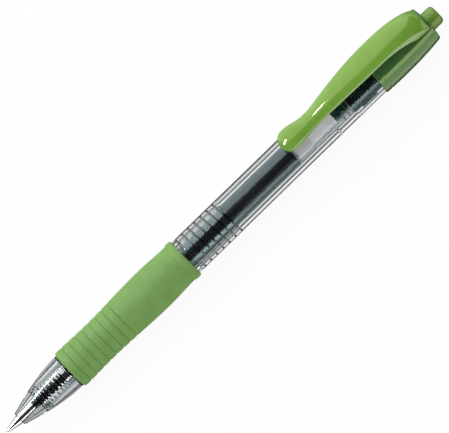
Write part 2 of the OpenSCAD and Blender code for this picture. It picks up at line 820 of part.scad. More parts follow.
module tip_socket() {
    feed_r = tang_r - tang_wall;
    feed_x = cone_len - feed_r;
    color([0.78, 0.76, 0.72])
        difference() {
            turned([
                [0, lip_x], [lip_r, lip_x], [tip_r, cone_len], [tip_r, holder_x - press_gap],
                [tang_r, holder_x - press_gap], [tang_r, tang_x], [feed_r, tang_x], [feed_r, cone_len],
                [ink_hole_r, feed_x], [0, feed_x]
            ]);
            translate([ball_x, 0, 0])
                sphere(r = ball_r + ball_gap);
            translate([ball_x, 0, 0])
                rotate([0, 90, 0])
                    cylinder(r = ink_hole_r, h = cone_len);
        }
}

module writing_ball() {
    color([0.8, 0.8, 0.82])
        translate([ball_x, 0, 0])
            sphere(r = ball_r);
}

nose_cone();
grip_sleeve();
barrel();
clip_collar();
pocket_clip();
cam_sleeve();
push_button();
rotor_cam();
return_spring();
refill_tube();
ink_column();
ink_follower();
tail_plug();
tip_holder();
tip_socket();
writing_ball();
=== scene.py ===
"""Looks of a retractable gel pen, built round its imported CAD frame. Sizes are in millimetres."""

import math

import bmesh
import bpy
from mathutils import Matrix, Vector


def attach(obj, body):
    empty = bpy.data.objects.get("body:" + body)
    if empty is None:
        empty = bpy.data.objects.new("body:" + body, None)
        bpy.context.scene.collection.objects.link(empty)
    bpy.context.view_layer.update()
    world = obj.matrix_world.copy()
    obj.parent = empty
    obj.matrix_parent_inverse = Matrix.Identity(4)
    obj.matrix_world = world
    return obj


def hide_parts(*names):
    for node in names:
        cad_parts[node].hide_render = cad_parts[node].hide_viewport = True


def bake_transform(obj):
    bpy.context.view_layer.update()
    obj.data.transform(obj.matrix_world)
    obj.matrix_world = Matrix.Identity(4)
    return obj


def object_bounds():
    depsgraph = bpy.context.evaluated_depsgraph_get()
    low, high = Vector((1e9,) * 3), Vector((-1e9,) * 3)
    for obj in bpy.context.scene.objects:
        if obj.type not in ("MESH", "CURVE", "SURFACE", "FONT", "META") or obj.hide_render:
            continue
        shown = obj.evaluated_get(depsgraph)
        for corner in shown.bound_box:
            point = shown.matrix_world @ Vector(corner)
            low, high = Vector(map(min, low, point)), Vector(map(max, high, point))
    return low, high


MM = 0.001
AROUND = 144
SHARP_ANGLE = math.radians(35)

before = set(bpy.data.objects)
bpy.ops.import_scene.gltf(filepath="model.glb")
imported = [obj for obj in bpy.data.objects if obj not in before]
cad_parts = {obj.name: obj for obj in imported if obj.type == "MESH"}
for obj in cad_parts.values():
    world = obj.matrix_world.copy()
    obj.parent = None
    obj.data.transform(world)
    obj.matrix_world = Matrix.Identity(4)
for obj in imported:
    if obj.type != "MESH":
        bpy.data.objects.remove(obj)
cad_low, cad_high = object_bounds()
scene = bpy.context.scene

# Camera, square to the pen's axis and turned so that the pen lies from corner to corner
PHOTO_SIZE = (449, 433)
TIP_PIXEL = (7.0, 431.4)
END_PIXEL = (437.5, 12.8)
CAMERA_ELEVATION = math.radians(65)
CAMERA_DISTANCE = 1.2
SENSOR = 36.0

PEN_AXIS = Vector((1, 0, 0))
TO_CAMERA = Vector((0, -math.cos(CAMERA_ELEVATION), math.sin(CAMERA_ELEVATION)))
ACROSS = TO_CAMERA.cross(PEN_AXIS)


def make_camera():
    """A long lens that puts the ball's tip and the button's end on their pixels of the photograph."""
    run = END_PIXEL[0] - TIP_PIXEL[0]
    rise = TIP_PIXEL[1] - END_PIXEL[1]
    pixels = math.hypot(run, rise)
    metres_per_pixel = (cad_high.x - cad_low.x) / pixels
    right = (PEN_AXIS * run - ACROSS * rise) / pixels
    up = (PEN_AXIS * rise + ACROSS * run) / pixels
    middle = PEN_AXIS * (cad_low.x + cad_high.x) / 2
    off_right = PHOTO_SIZE[0] / 2 - (TIP_PIXEL[0] + END_PIXEL[0]) / 2
    off_up = (TIP_PIXEL[1] + END_PIXEL[1]) / 2 - PHOTO_SIZE[1] / 2
    centre = middle + (right * off_right + up * off_up) * metres_per_pixel
    lens = bpy.data.cameras.new("camera")
    lens.sensor_width = SENSOR
    lens.lens = SENSOR * CAMERA_DISTANCE / (PHOTO_SIZE[0] * metres_per_pixel)
    lens.clip_end = 20
    camera = bpy.data.objects.new("camera", lens)
    scene.collection.objects.link(camera)
    turn = Matrix((right, up, TO_CAMERA)).transposed().to_4x4()
    camera.matrix_world = Matrix.Translation(centre + TO_CAMERA * CAMERA_DISTANCE) @ turn
    scene.camera = camera


make_camera()


# Node helpers for shaders and Geometry Nodes
def put(tree, kind, inputs=None, **settings):
    """A new node with its settings and its inputs, which are values or other nodes' sockets."""
    node = tree.nodes.new(kind)
    for key, value in settings.items():
        setattr(node, key, value)
    for key, value in (inputs or {}).items():
        if isinstance(value, bpy.types.NodeSocket):
            tree.links.new(value, node.inputs[key])
        else:
            node.inputs[key].default_value = value
    return node


def calc(tree, operation, *values):
    """The result of a Math node."""
    return put(tree, "ShaderNodeMath", dict(enumerate(values)), operation=operation).outputs[0]


def ramp(tree, value, low, high, first=0.0, last=1.0, shape="SMOOTHSTEP"):
    """The result of a Map Range node."""
    given = {"Value": value, "From Min": low, "From Max": high, "To Min": first, "To Max": last}
    return put(tree, "ShaderNodeMapRange", given, interpolation_type=shape).outputs["Result"]


def either(tree, share, first, last):
    """A value between two others."""
    return put(tree, "ShaderNodeMix", {0: share, 2: first, 3: last}, data_type="FLOAT").outputs[0]


def noise_on(tree, vector, scale, detail):
    """The result of a Noise Texture node."""
    given = {"Vector": vector, "Scale": scale, "Detail": detail}
    return put(tree, "ShaderNodeTexNoise", given).outputs["Fac"]


def half_of(tree, value):
    return calc(tree, "MULTIPLY", value, 0.5)


def start_tree(name, kind, inputs, outputs):
    """A node group with named sockets, and its input and output nodes."""
    tree = bpy.data.node_groups.new(name, kind)
    for direction, sockets in (("INPUT", inputs), ("OUTPUT", outputs)):
        for label, socket in sockets.items():
            tree.interface.new_socket(label, in_out=direction, socket_type=socket)
    return tree, put(tree, "NodeGroupInput").outputs, put(tree, "NodeGroupOutput").inputs


FLOAT = "NodeSocketFloat"
COLOUR = "NodeSocketColor"
VECTOR = "NodeSocketVector"
INTEGER = "NodeSocketInt"
GEOMETRY = "NodeSocketGeometry"
MATERIAL = "NodeSocketMaterial"


# Places round and along the pen, for shaders and Geometry Nodes
def off_axis(tree, parts):
    """What of a place lies across the pen's axis, and its length."""
    flat = put(tree, "ShaderNodeCombineXYZ", {"Y": parts["Y"], "Z": parts["Z"]}).outputs[0]
    return flat, put(tree, "ShaderNodeVectorMath", {0: flat}, operation="LENGTH").outputs["Value"]


def turn_share(tree, parts):
    """The angle of a place round the pen's axis, as a share of a turn."""
    return calc(tree, "DIVIDE", calc(tree, "ARCTAN2", parts["Z"], parts["Y"]), 2 * math.pi)


def steps_along(tree, parts, first, spacing):
    """How many spacings a place lies behind the first one."""
    return calc(tree, "DIVIDE", calc(tree, "SUBTRACT", parts["X"], first), spacing)


def gap_between(tree, steps, nearest, spacing):
    """The distance between two numbers of steps."""
    return calc(tree, "MULTIPLY", calc(tree, "ABSOLUTE", calc(tree, "SUBTRACT", steps, nearest)), spacing)


def counted(tree, step, count):
    """1 from the first to the last step of a count, and 0 elsewhere."""
    from_first = calc(tree, "GREATER_THAN", step, -0.5)
    to_last = calc(tree, "LESS_THAN", step, calc(tree, "SUBTRACT", count, 0.5))
    return calc(tree, "MULTIPLY", from_first, to_last)


# Effects that the materials share
LINE_CORE = 0.3


def make_soft_noise():
    """A soft noise between two values."""
    tree, given, result = start_tree(
        "Soft noise", "ShaderNodeTree",
        {"Vector": VECTOR, "Scale": FLOAT, "Low": FLOAT, "High": FLOAT}, {"Value": FLOAT})
    noise = noise_on(tree, given["Vector"], given["Scale"], 4.0)
    tree.links.new(ramp(tree, noise, 0.3, 0.7, given["Low"], given["High"]), result["Value"])
    return tree


def make_two_tones():
    """Soft patches of two close colours, as moulded plastic and rubber have."""
    tree, given, result = start_tree(
        "Two tones", "ShaderNodeTree",
        {"Vector": VECTOR, "Scale": FLOAT, "Main": COLOUR, "Other": COLOUR}, {"Colour": COLOUR})
    share = ramp(tree, noise_on(tree, given["Vector"], given["Scale"], 3.0), 0.35, 0.65)
    mix = put(tree, "ShaderNodeMix", {0: share, 6: given["Main"], 7: given["Other"]}, data_type="RGBA")
    tree.links.new(mix.outputs[2], result["Colour"])
    return tree


def make_handling_marks():
    """Fine scuffs that run along the pen, gathered in soft patches."""
    tree, given, result = start_tree(
        "Handling marks", "ShaderNodeTree", {"Vector": VECTOR, "Scale": FLOAT}, {"Marks": FLOAT})
    stretch = put(tree, "ShaderNodeMapping", {"Vector": given["Vector"], "Scale": (0.06, 1.0, 1.0)})
    scuffs = noise_on(tree, stretch.outputs[0], given["Scale"], 2.0)
    patches = noise_on(tree, given["Vector"], calc(tree, "MULTIPLY", given["Scale"], 0.12), 2.0)
    marks = calc(tree, "MULTIPLY", ramp(tree, scuffs, 0.62, 0.72), ramp(tree, patches, 0.45, 0.7))
    tree.links.new(marks, result["Marks"])
    return tree


def make_edge_lines():
    """Fine lines of painted shade round the pen's axis, as rings or wound like a thread, on what lies within
    a radius.
    """
    tree, given, result = start_tree(
        "Edge lines", "ShaderNodeTree",
        {"Vector": VECTOR, "First": FLOAT, "Spacing": FLOAT, "Count": FLOAT, "Twist": FLOAT, "Width": FLOAT,
         "Reach": FLOAT},
        {"Lines": FLOAT})
    parts = put(tree, "ShaderNodeSeparateXYZ", {0: given["Vector"]}).outputs
    turn = calc(tree, "MULTIPLY", turn_share(tree, parts), given["Twist"])
    phase = calc(tree, "SUBTRACT", steps_along(tree, parts, given["First"], given["Spacing"]), turn)
    nearest = calc(tree, "ROUND", phase)
    gap = gap_between(tree, phase, nearest, given["Spacing"])
    core = calc(tree, "MULTIPLY", given["Width"], LINE_CORE)
    line = ramp(tree, gap, core, half_of(tree, given["Width"]), 1.0, 0.0)
    in_count = counted(tree, calc(tree, "ADD", nearest, turn), given["Count"])
    in_reach = calc(tree, "LESS_THAN", off_axis(tree, parts)[1], given["Reach"])
    lines = calc(tree, "MULTIPLY", line, calc(tree, "MULTIPLY", in_count, in_reach))
    tree.links.new(lines, result["Lines"])
    return tree


SOFT_NOISE = make_soft_noise()
TWO_TONES = make_two_tones()
HANDLING_MARKS = make_handling_marks()
EDGE_LINES = make_edge_lines()


class Finish:
    """A new material with its shader, its place on the piece and helpers for the shared effects."""

    def __init__(self, name, **values):
        self.material = bpy.data.materials.new(name)
        self.material.use_nodes = True
        self.tree = self.material.node_tree
        self.shader = self.tree.nodes["Principled BSDF"]
        self.place = put(self.tree, "ShaderNodeTexCoord").outputs["Object"]
        for label, value in values.items():
            self.shader.inputs[label.replace("_", " ")].default_value = value

    def effect(self, group, output, **values):
        """The output of a shared effect on this piece."""
        given = {"Vector": self.place, **values}
        return put(self.tree, "ShaderNodeGroup", given, node_tree=group).outputs[output]

    def noise(self, scale, low, high):
        return self.effect(SOFT_NOISE, "Value", Scale=scale, Low=low, High=high)

    def tones(self, scale, main, other):
        return self.effect(TWO_TONES, "Colour", Scale=scale, Main=(*main, 1), Other=(*other, 1))

    def marks(self, scale):
        return self.effect(HANDLING_MARKS, "Marks", Scale=scale)

    def feed(self, **sockets):
        """Links sockets to the shader's inputs."""
        for label, socket in sockets.items():
            self.tree.links.new(socket, self.shader.inputs[label.replace("_", " ")])

    def bump(self, height, depth):
        """Relief of a depth in millimetres."""
        node = put(self.tree, "ShaderNodeBump", {"Height": height, "Strength": 1.0, "Distance": depth * MM})
        self.feed(Normal=node.outputs["Normal"])

    def along(self, low, high):
        """How far along the pen a point lies between two places, from 0 to 1."""
        parts = put(self.tree, "ShaderNodeSeparateXYZ", {0: self.place})
        return ramp(self.tree, parts.outputs["X"], low * MM, high * MM)

    def mix(self, share, first, last):
        """A colour between two others."""
        given = {0: share, 6: (*first, 1), 7: (*last, 1)}
        return put(self.tree, "ShaderNodeMix", given, data_type="RGBA").outputs[2]


# Materials of the pen
WARM_SHINE = (0.96, 0.86, 0.66)
GREEN_SHINE = (0.72, 0.98, 0.42)
CLEAR_TINT = (0.965, 0.975, 0.975)
# Colour of the painted shade lines on the clear plastic
PAINTED_LINE_SHADE = (0.004, 0.004, 0.004)


def line_set(first, spacing, count, twist, width, reach):
    """Values for the edge lines, from lengths in millimetres."""
    return {"First": first * MM, "Spacing": spacing * MM, "Count": float(count), "Twist": float(twist),
            "Width": width * MM, "Reach": reach * MM}


def clear_plastic(name, *line_sets):
    """Polished clear plastic with faint scuffs, and dark lines of painted shade along its steps and its
    thread.
    """
    finish = Finish(name, Transmission_Weight=1.0, IOR=1.49, Specular_Tint=(0.60, 0.84, 0.90, 1))
    lines = 0.0
    for values in line_sets:
        lines = calc(finish.tree, "MAXIMUM", lines, finish.effect(EDGE_LINES, "Lines", **values))
    # Painted shade: the clear plastic is darkened along its steps and its thread
    finish.feed(Base_Color=finish.mix(lines, CLEAR_TINT, PAINTED_LINE_SHADE))
    finish.feed(Roughness=ramp(finish.tree, finish.marks(9000), 0, 1, 0.0, 0.12, "LINEAR"))
    return finish.material


def moulded_plastic(name, main, other, smooth, rough, grain, index=1.48, gloss=0.5, shine=WARM_SHINE):
    """Coloured plastic from a mould, with a fine grain and soft patches."""
    finish = Finish(name, IOR=index, Specular_IOR_Level=gloss, Specular_Tint=(*shine, 1))
    finish.feed(Base_Color=finish.tones(420, main, other), Roughness=finish.noise(900, smooth, rough))
    finish.bump(finish.noise(5200, 0, 1), grain)
    return finish.material


def grip_rubber():
    """Soft matte rubber with a fine grain."""
    finish = Finish(
        "grip_rubber", Sheen_Weight=0.06, Sheen_Roughness=0.5, Sheen_Tint=(0.75, 0.95, 0.5, 1), IOR=1.42)
    finish.feed(Base_Color=finish.tones(300, (0.165, 0.335, 0.070), (0.150, 0.310, 0.062)))
    finish.feed(Roughness=finish.noise(700, 0.62, 0.78))
    finish.bump(finish.noise(3800, 0, 1), 0.012)
    return finish.material


def bright_metal(name, main, other, smooth, rough, grain):
    """Bright metal with turning marks across the pen."""
    finish = Finish(name, Metallic=1.0)
    finish.feed(Base_Color=finish.tones(1500, main, other), Roughness=finish.noise(2500, smooth, rough))
    stretch = put(finish.tree, "ShaderNodeMapping", {"Vector": finish.place, "Scale": (1.0, 0.05, 0.05)})
    finish.bump(noise_on(finish.tree, stretch.outputs[0], 12000.0, 2.0), grain)
    return finish.material


def wet_ink():
    """Black ink that wets its tube."""
    finish = Finish("black_ink", IOR=1.4, Specular_IOR_Level=0.2)
    finish.feed(Base_Color=finish.tones(260, (0.026, 0.028, 0.042), (0.022, 0.024, 0.037)))
    finish.feed(Roughness=finish.noise(500, 0.10, 0.18))
    return finish.material


def clear_grease(ink_end):
    """Clear grease, stained where it meets the ink."""
    finish = Finish("clear_grease", Transmission_Weight=1.0, IOR=1.1)
    stain, clear = (0.01, 0.008, 0.013), (0.82, 0.82, 0.84)
    finish.feed(Base_Color=finish.mix(finish.along(ink_end - 0.2, ink_end + 0.9), stain, clear))
    finish.feed(Roughness=finish.noise(900, 0.10, 0.2))
    return finish.material


def tube_plastic():
    """Slightly milky plastic of the refill's tube."""
    finish = Finish(
        "tube_plastic", Base_Color=(0.90, 0.91, 0.92, 1), Transmission_Weight=1.0, IOR=1.5,
        Specular_Tint=(0.3, 0.3, 0.3, 1))
    finish.feed(Roughness=finish.noise(700, 0.10, 0.18))
    return finish.material


# Outlines and meshes
def spread(first, last, step):
    """Even places from first to last, about a step apart."""
    count = max(1, round(abs(last - first) / step))
    return [first + (last - first) * i / count for i in range(count + 1)]


def rows(first, last, step, r):
    """Close points along a line of one radius."""
    return [(x, r) for x in spread(first, last, step)]


def quarter(steps):
    """Even angles from nothing to a right angle."""
    return [math.pi / 2 * k / steps for k in range(steps + 1)]


def ease(low, high, u):
    """A height at share u of the way between two others, level at both ends."""
    return low + (high - low) * (1 - math.cos(math.pi * max(0.0, min(1.0, u)))) / 2


def rounded(corners, steps=5):
    """Points of a closed line through (x, radius, rounding) corners, softly curved at each rounded one."""
    points = []
    count = len(corners)
    for i, (x, r, soft) in enumerate(corners):
        corner = Vector((x, r))
        if soft == 0:
            points.append((x, r))
            continue
        before = Vector(corners[i - 1][:2]) - corner
        after = Vector(corners[(i + 1) % count][:2]) - corner
        first = corner + before.normalized() * min(soft, before.length / 2)
        last = corner + after.normalized() * min(soft, after.length / 2)
        for k in range(steps + 1):
            u = k / steps
            p = first * (1 - u) ** 2 + corner * 2 * u * (1 - u) + last * u ** 2
            points.append((p.x, p.y))
    return points


def to_mesh(name, bm):
    """A mesh from a bmesh, which is freed."""
    mesh = bpy.data.meshes.new(name)
    bm.to_mesh(mesh)
    bm.free()
    return mesh


def shade(mesh):
    """Smooth shading, with the sharp edges kept."""
    mesh.shade_smooth()
    mesh.set_sharp_from_angle(angle=SHARP_ANGLE)


def new_piece(name, mesh):
    """A piece with this mesh, at the origin."""
    piece = bpy.data.objects.new(name, mesh)
    scene.collection.objects.link(piece)
    return piece


def skin(name, rings, closed):
    """A piece through rings of points, where one point is a pole. A closed one ends where it starts."""
    bm = bmesh.new()
    made = [[bm.verts.new(p) for p in ring] for ring in rings]
    pairs = list(zip(made, made[1:]))
    if closed:
        pairs.append((made[-1], made[0]))
    for low, high in pairs:
        count = max(len(low), len(high))
        for j in range(count if count > 1 else 0):
            k = (j + 1) % count
            corners = [low[j % len(low)], low[k % len(low)], high[k % len(high)], high[j % len(high)]]
            bm.faces.new(list(dict.fromkeys(corners)))
    bmesh.ops.recalc_face_normals(bm, faces=bm.faces)
    mesh = to_mesh(name, bm)
    shade(mesh)
    return new_piece(name, mesh)


def capped(name, rings):
    """A piece through rings of points, with a pole in the middle of its first and its last ring."""
    poles = [[tuple(sum(c) / len(ring) for c in zip(*ring))] for ring in (rings[0], rings[-1])]
    return skin(name, [poles[0], *rings, poles[1]], False)


def turned(name, outline, reshape=None):
    """A piece turned about the pen's axis from (x, radius) points, which reshape(x, radius, angle) moves."""
    rings = []
    for x, r in outline:
        ring = []
        for j in range(AROUND if r > 0 else 1):
            angle = 2 * math.pi * j / AROUND
            px, pr = reshape(x, r, angle) if reshape else (x, r)
            ring.append((px * MM, pr * math.cos(angle) * MM, pr * math.sin(angle) * MM))
        rings.append(ring)
    return skin(name, rings, outline[0][1] > 0)


def join(piece, other):
    """Adds another piece's mesh to a piece."""
    bm = bmesh.new()
    bm.from_mesh(piece.data)
    bm.from_mesh(other.data)
    bm.to_mesh(piece.data)
    bm.free()
    bpy.data.objects.remove(other)


def paint(piece, material):
    """Gives a piece one material."""
    piece.data.materials.clear()
    piece.data.materials.append(material)


def dress(piece, body, slot, material, *nodes):
    """Gives a piece its material, its body and the CAD nodes that it stands for. The slot is not used."""
    paint(piece, material)
    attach(piece, body)
    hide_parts(*nodes)


def settle(piece):
    """Turns the result of a piece's modifiers into its plain mesh."""
    bpy.context.view_layer.update()
    graph = bpy.context.evaluated_depsgraph_get()
    mesh = bpy.data.meshes.new_from_object(piece.evaluated_get(graph))
    piece.modifiers.clear()
    piece.data = mesh
    shade(mesh)


def grow(piece, tree, **values):
    """Runs a Geometry Nodes tree on a piece with these inputs, and keeps the plain mesh."""
    modifier = piece.modifiers.new(tree.name, "NODES")
    modifier.node_group = tree
    for item in tree.interface.items_tree:
        label = item.name.replace(" ", "_")
        if item.in_out == "INPUT" and label in values:
            modifier[item.identifier] = values[label]
    settle(piece)


def blank(name):
    """A piece with an empty mesh, for a tree that makes its own shape."""
    return new_piece(name, bpy.data.meshes.new(name))


# Geometry Nodes trees
SPRING_LAW = ((0.0, 0.0), (0.07, 0.05), (0.36, 0.435), (0.62, 0.60), (0.92, 0.955), (1.0, 1.0))
WIRE_SIDES = 10
THREAD_FADE = 0.12
SAME_RADIUS = 0.01


def end_tree(tree, geometry, material, result):
    """The closing nodes of a tree."""
    real = put(tree, "GeometryNodeRealizeInstances", {0: geometry}).outputs[0]
    last = put(tree, "GeometryNodeSetMaterial", {"Geometry": real, "Material": material}).outputs[0]
    tree.links.new(last, result["Geometry"])


def make_coil():
    """A wire wound along the pen's axis, with closed turns where its law is flat."""
    tree, given, result = start_tree(
        "Wound wire", "GeometryNodeTree",
        {"Start": FLOAT, "End": FLOAT, "Radius": FLOAT, "Wire": FLOAT, "Turns": FLOAT, "Steps": INTEGER,
         "Material": MATERIAL},
        {"Geometry": GEOMETRY})
    line = put(tree, "GeometryNodeCurvePrimitiveLine", {"End": (1, 0, 0)}).outputs[0]
    steps = put(tree, "GeometryNodeResampleCurve", {"Curve": line, "Count": given["Steps"]}).outputs[0]
    share = put(tree, "GeometryNodeSplineParameter").outputs["Factor"]
    law = put(tree, "ShaderNodeFloatCurve", {"Value": share})
    points = law.mapping.curves[0].points
    points[0].location = SPRING_LAW[0]
    points[1].location = SPRING_LAW[-1]
    for place in SPRING_LAW[1:-1]:
        points.new(*place)
    law.mapping.update()
    angle = calc(tree, "MULTIPLY", calc(tree, "MULTIPLY", share, given["Turns"]), 2 * math.pi)
    x = ramp(tree, law.outputs[0], 0, 1, given["Start"], given["End"], "LINEAR")
    y = calc(tree, "MULTIPLY", calc(tree, "COSINE", angle), given["Radius"])
    z = calc(tree, "MULTIPLY", calc(tree, "SINE", angle), given["Radius"])
    place = put(tree, "ShaderNodeCombineXYZ", {"X": x, "Y": y, "Z": z}).outputs[0]
    coil = put(tree, "GeometryNodeSetPosition", {"Geometry": steps, "Position": place}).outputs[0]
    ring = put(tree, "GeometryNodeCurvePrimitiveCircle", {"Resolution": WIRE_SIDES, "Radius": given["Wire"]})
    wire = put(
        tree, "GeometryNodeCurveToMesh", {"Curve": coil, "Profile Curve": ring.outputs[0], "Fill Caps": True})
    end_tree(tree, wire.outputs[0], given["Material"], result)
    return tree


def radial(tree):
    """A point's place along and across the pen, its distance from the axis and its direction away from it."""
    place = put(tree, "GeometryNodeInputPosition").outputs[0]
    parts = put(tree, "ShaderNodeSeparateXYZ", {0: place}).outputs
    flat, length = off_axis(tree, parts)
    out = put(tree, "ShaderNodeVectorMath", {0: flat}, operation="NORMALIZE").outputs["Vector"]
    return parts, length, out


def push_out(tree, geometry, chosen, out, distance):
    """Moves chosen points away from the axis by a distance."""
    offset = put(tree, "ShaderNodeVectorMath", {0: out, "Scale": distance}, operation="SCALE")
    given = {"Geometry": geometry, "Selection": chosen, "Offset": offset.outputs["Vector"]}
    return put(tree, "GeometryNodeSetPosition", given).outputs[0]


def make_grooves():
    """Even grooves round a sleeve, with softly crowned bands between them."""
    tree, given, result = start_tree(
        "Ring grooves", "GeometryNodeTree",
        {"Geometry": GEOMETRY, "First": FLOAT, "Spacing": FLOAT, "Count": FLOAT, "Width": FLOAT,
         "Depth": FLOAT, "Crown": FLOAT, "Inner radius": FLOAT, "Material": MATERIAL},
        {"Geometry": GEOMETRY})
    parts, length, out = radial(tree)
    steps = steps_along(tree, parts, given["First"], given["Spacing"])
    nearest = calc(tree, "ROUND", steps)
    gap = gap_between(tree, steps, nearest, given["Spacing"])
    groove = ramp(tree, gap, 0, half_of(tree, given["Width"]), given["Depth"], 0.0)
    crown = ramp(tree, gap, 0, half_of(tree, given["Spacing"]), 0.0, given["Crown"])
    outer = calc(tree, "GREATER_THAN", length, given["Inner radius"])
    chosen = calc(tree, "MULTIPLY", counted(tree, nearest, given["Count"]), outer)
    moved = push_out(tree, given["Geometry"], chosen, out, calc(tree, "SUBTRACT", crown, groove))
    end_tree(tree, moved, given["Material"], result)
    return tree


def make_thread():
    """A screw thread raised on the part of a skin that lies at one radius."""
    tree, given, result = start_tree(
        "Screw thread", "GeometryNodeTree",
        {"Geometry": GEOMETRY, "Start": FLOAT, "Pitch": FLOAT, "From turn": FLOAT, "To turn": FLOAT,
         "Height": FLOAT, "Root": FLOAT, "Crest": FLOAT, "At radius": FLOAT, "Material": MATERIAL},
        {"Geometry": GEOMETRY})
    parts, length, out = radial(tree)
    share = turn_share(tree, parts)
    along = steps_along(tree, parts, given["Start"], given["Pitch"])
    turn = calc(tree, "ADD", calc(tree, "ROUND", calc(tree, "SUBTRACT", along, share)), share)
    gap = gap_between(tree, along, turn, given["Pitch"])
    crest, root = half_of(tree, given["Crest"]), half_of(tree, given["Root"])
    ridge = ramp(tree, gap, crest, root, given["Height"], 0.0, "LINEAR")
    run_in = ramp(tree, calc(tree, "SUBTRACT", turn, given["From turn"]), 0.0, THREAD_FADE)
    run_out = ramp(tree, calc(tree, "SUBTRACT", given["To turn"], turn), 0.0, THREAD_FADE)
    height = calc(tree, "MULTIPLY", ridge, calc(tree, "MULTIPLY", run_in, run_out))
    chosen = calc(tree, "COMPARE", length, given["At radius"], SAME_RADIUS * MM)
    end_tree(tree, push_out(tree, given["Geometry"], chosen, out, height), given["Material"], result)
    return tree


def make_ribs():
    """Even ribs that stand out from the pen's axis."""
    tree, given, result = start_tree(
        "Ribs round the axis", "GeometryNodeTree",
        {"Size": VECTOR, "Middle": VECTOR, "Count": INTEGER, "Material": MATERIAL}, {"Geometry": GEOMETRY})
    rib = put(tree, "GeometryNodeMeshCube", {"Size": given["Size"]}).outputs[0]
    rib = put(tree, "GeometryNodeTransform", {"Geometry": rib, "Translation": given["Middle"]}).outputs[0]
    points = put(tree, "GeometryNodePoints", {"Count": given["Count"]}).outputs[0]
    index = put(tree, "GeometryNodeInputIndex").outputs[0]
    turn = calc(tree, "DIVIDE", calc(tree, "MULTIPLY", index, 2 * math.pi), given["Count"])
    turns = put(tree, "ShaderNodeCombineXYZ", {"X": turn}).outputs[0]
    ribs = put(tree, "GeometryNodeInstanceOnPoints", {"Points": points, "Instance": rib, "Rotation": turns})
    end_tree(tree, ribs.outputs[0], given["Material"], result)
    return tree


WOUND_WIRE = make_coil()
RING_GROOVES = make_grooves()
SCREW_THREAD = make_thread()
RIBS = make_ribs()


# Front section
FIT = 0.02
JOINT_GAP = 0.05
NOSE_X = 4.2
NOSE_LEN = 16.4
NOSE_R = 4.7
NOSE_FRONT_R = 1.75
NOSE_STEPS = 40
TIP_HOLE_R = 1.3
TIP_HOLE_END = 5.6
HOLLOW_START_R = 1.45
SEAT_X = 10.5
SEAT_STEP = 0.6
SEAT_RADII = (2.1, 2.39, 2.825, 3.01, 3.45)
HOLLOW_END = (20.2, 3.95)
BORE_X = 21.4
BORE_R = 3.2
GRIP_X = 20.6
GRIP_SEAT_R = 4.2
FLANGE_X = 59.0
BARREL_X = 60.0
BARREL_R = 4.9
TENON_R = 3.8
TENON_END = 73.0
TENON_CHAMFER = 0.3
THREAD_X = 61.93
THREAD_PITCH = 2.0
THREAD_TURNS = 5.55
THREAD_CREST = 0.04
THREAD_ROW = 0.055


def wind_thread(piece, material, radius, from_turn, to_turn, height, root):
    """Winds the screw thread on the part of a piece that lies at one radius."""
    grow(piece, SCREW_THREAD, Start=THREAD_X * MM, Pitch=THREAD_PITCH * MM, From_turn=from_turn,
         To_turn=to_turn, Height=height * MM, Root=root * MM, Crest=THREAD_CREST * MM, At_radius=radius * MM,
         Material=material)


def nose_hollow():
    """The inside of the nose from its bore to the tip hole, with the steps that the spring sits in."""
    points = [(BORE_X, BORE_R), HOLLOW_END]
    for k in reversed(range(len(SEAT_RADII) - 1)):
        x = SEAT_X + SEAT_STEP * k
        points += [(x, SEAT_RADII[k + 1]), (x, SEAT_RADII[k])]
    return points + [(TIP_HOLE_END, HOLLOW_START_R), (TIP_HOLE_END, TIP_HOLE_R)]


def nose_cone(material):
    corners = [(NOSE_X, TIP_HOLE_R, 0.06), (NOSE_X, NOSE_FRONT_R, 0.25)]
    for i in range(1, NOSE_STEPS + 1):
        u = i / NOSE_STEPS
        r = NOSE_FRONT_R + (NOSE_R - NOSE_FRONT_R) * math.sin(math.pi / 2 * u)
        corners.append((NOSE_X + NOSE_LEN * u, r, 0))
    corners += [
        (GRIP_X, GRIP_SEAT_R, 0), (FLANGE_X, GRIP_SEAT_R, 0), (FLANGE_X, BARREL_R, 0.12),
        (BARREL_X, BARREL_R, 0.2), (BARREL_X, TENON_R, 0)]
    outline = rounded(corners)
    outline += rows(BARREL_X + JOINT_GAP, TENON_END - TENON_CHAMFER, THREAD_ROW, TENON_R)
    outline += [(TENON_END, TENON_R - TENON_CHAMFER), (TENON_END, BORE_R)] + nose_hollow()
    piece = turned("nose_cone_clear", outline)
    wind_thread(piece, material, TENON_R, from_turn=0.0, to_turn=THREAD_TURNS, height=0.12, root=0.36)
    dress(piece, "nose", "clear_nose", material, "nose_cone")


GRIP_END = 58.95
GRIP_STATIONS = ((20.65, 5.25), (30.6, 5.05), (48.5, 5.55), (57.0, 5.25))
GRIP_EDGE = 0.7
GRIP_ROW = 0.09
BEAD_RISE = 0.25
BEAD_STEPS = 16
BEAD_END_R = BARREL_R + 0.15
GROOVE_FIRST = 22.95
GROOVE_SPACING = 2.15
GROOVE_COUNT = 8
GROOVE_WIDTH = 0.46
GROOVE_DEPTH = 0.2
BAND_CROWN = 0.03
GROOVED_FROM_R = 4.4


def grip_radius(x):
    """The radius of the grip at x, which eases from one station to the next."""
    for (x0, r0), (x1, r1) in zip(GRIP_STATIONS, GRIP_STATIONS[1:]):
        if x <= x1:
            return ease(r0, r1, (x - x0) / (x1 - x0))
    return GRIP_STATIONS[-1][1]


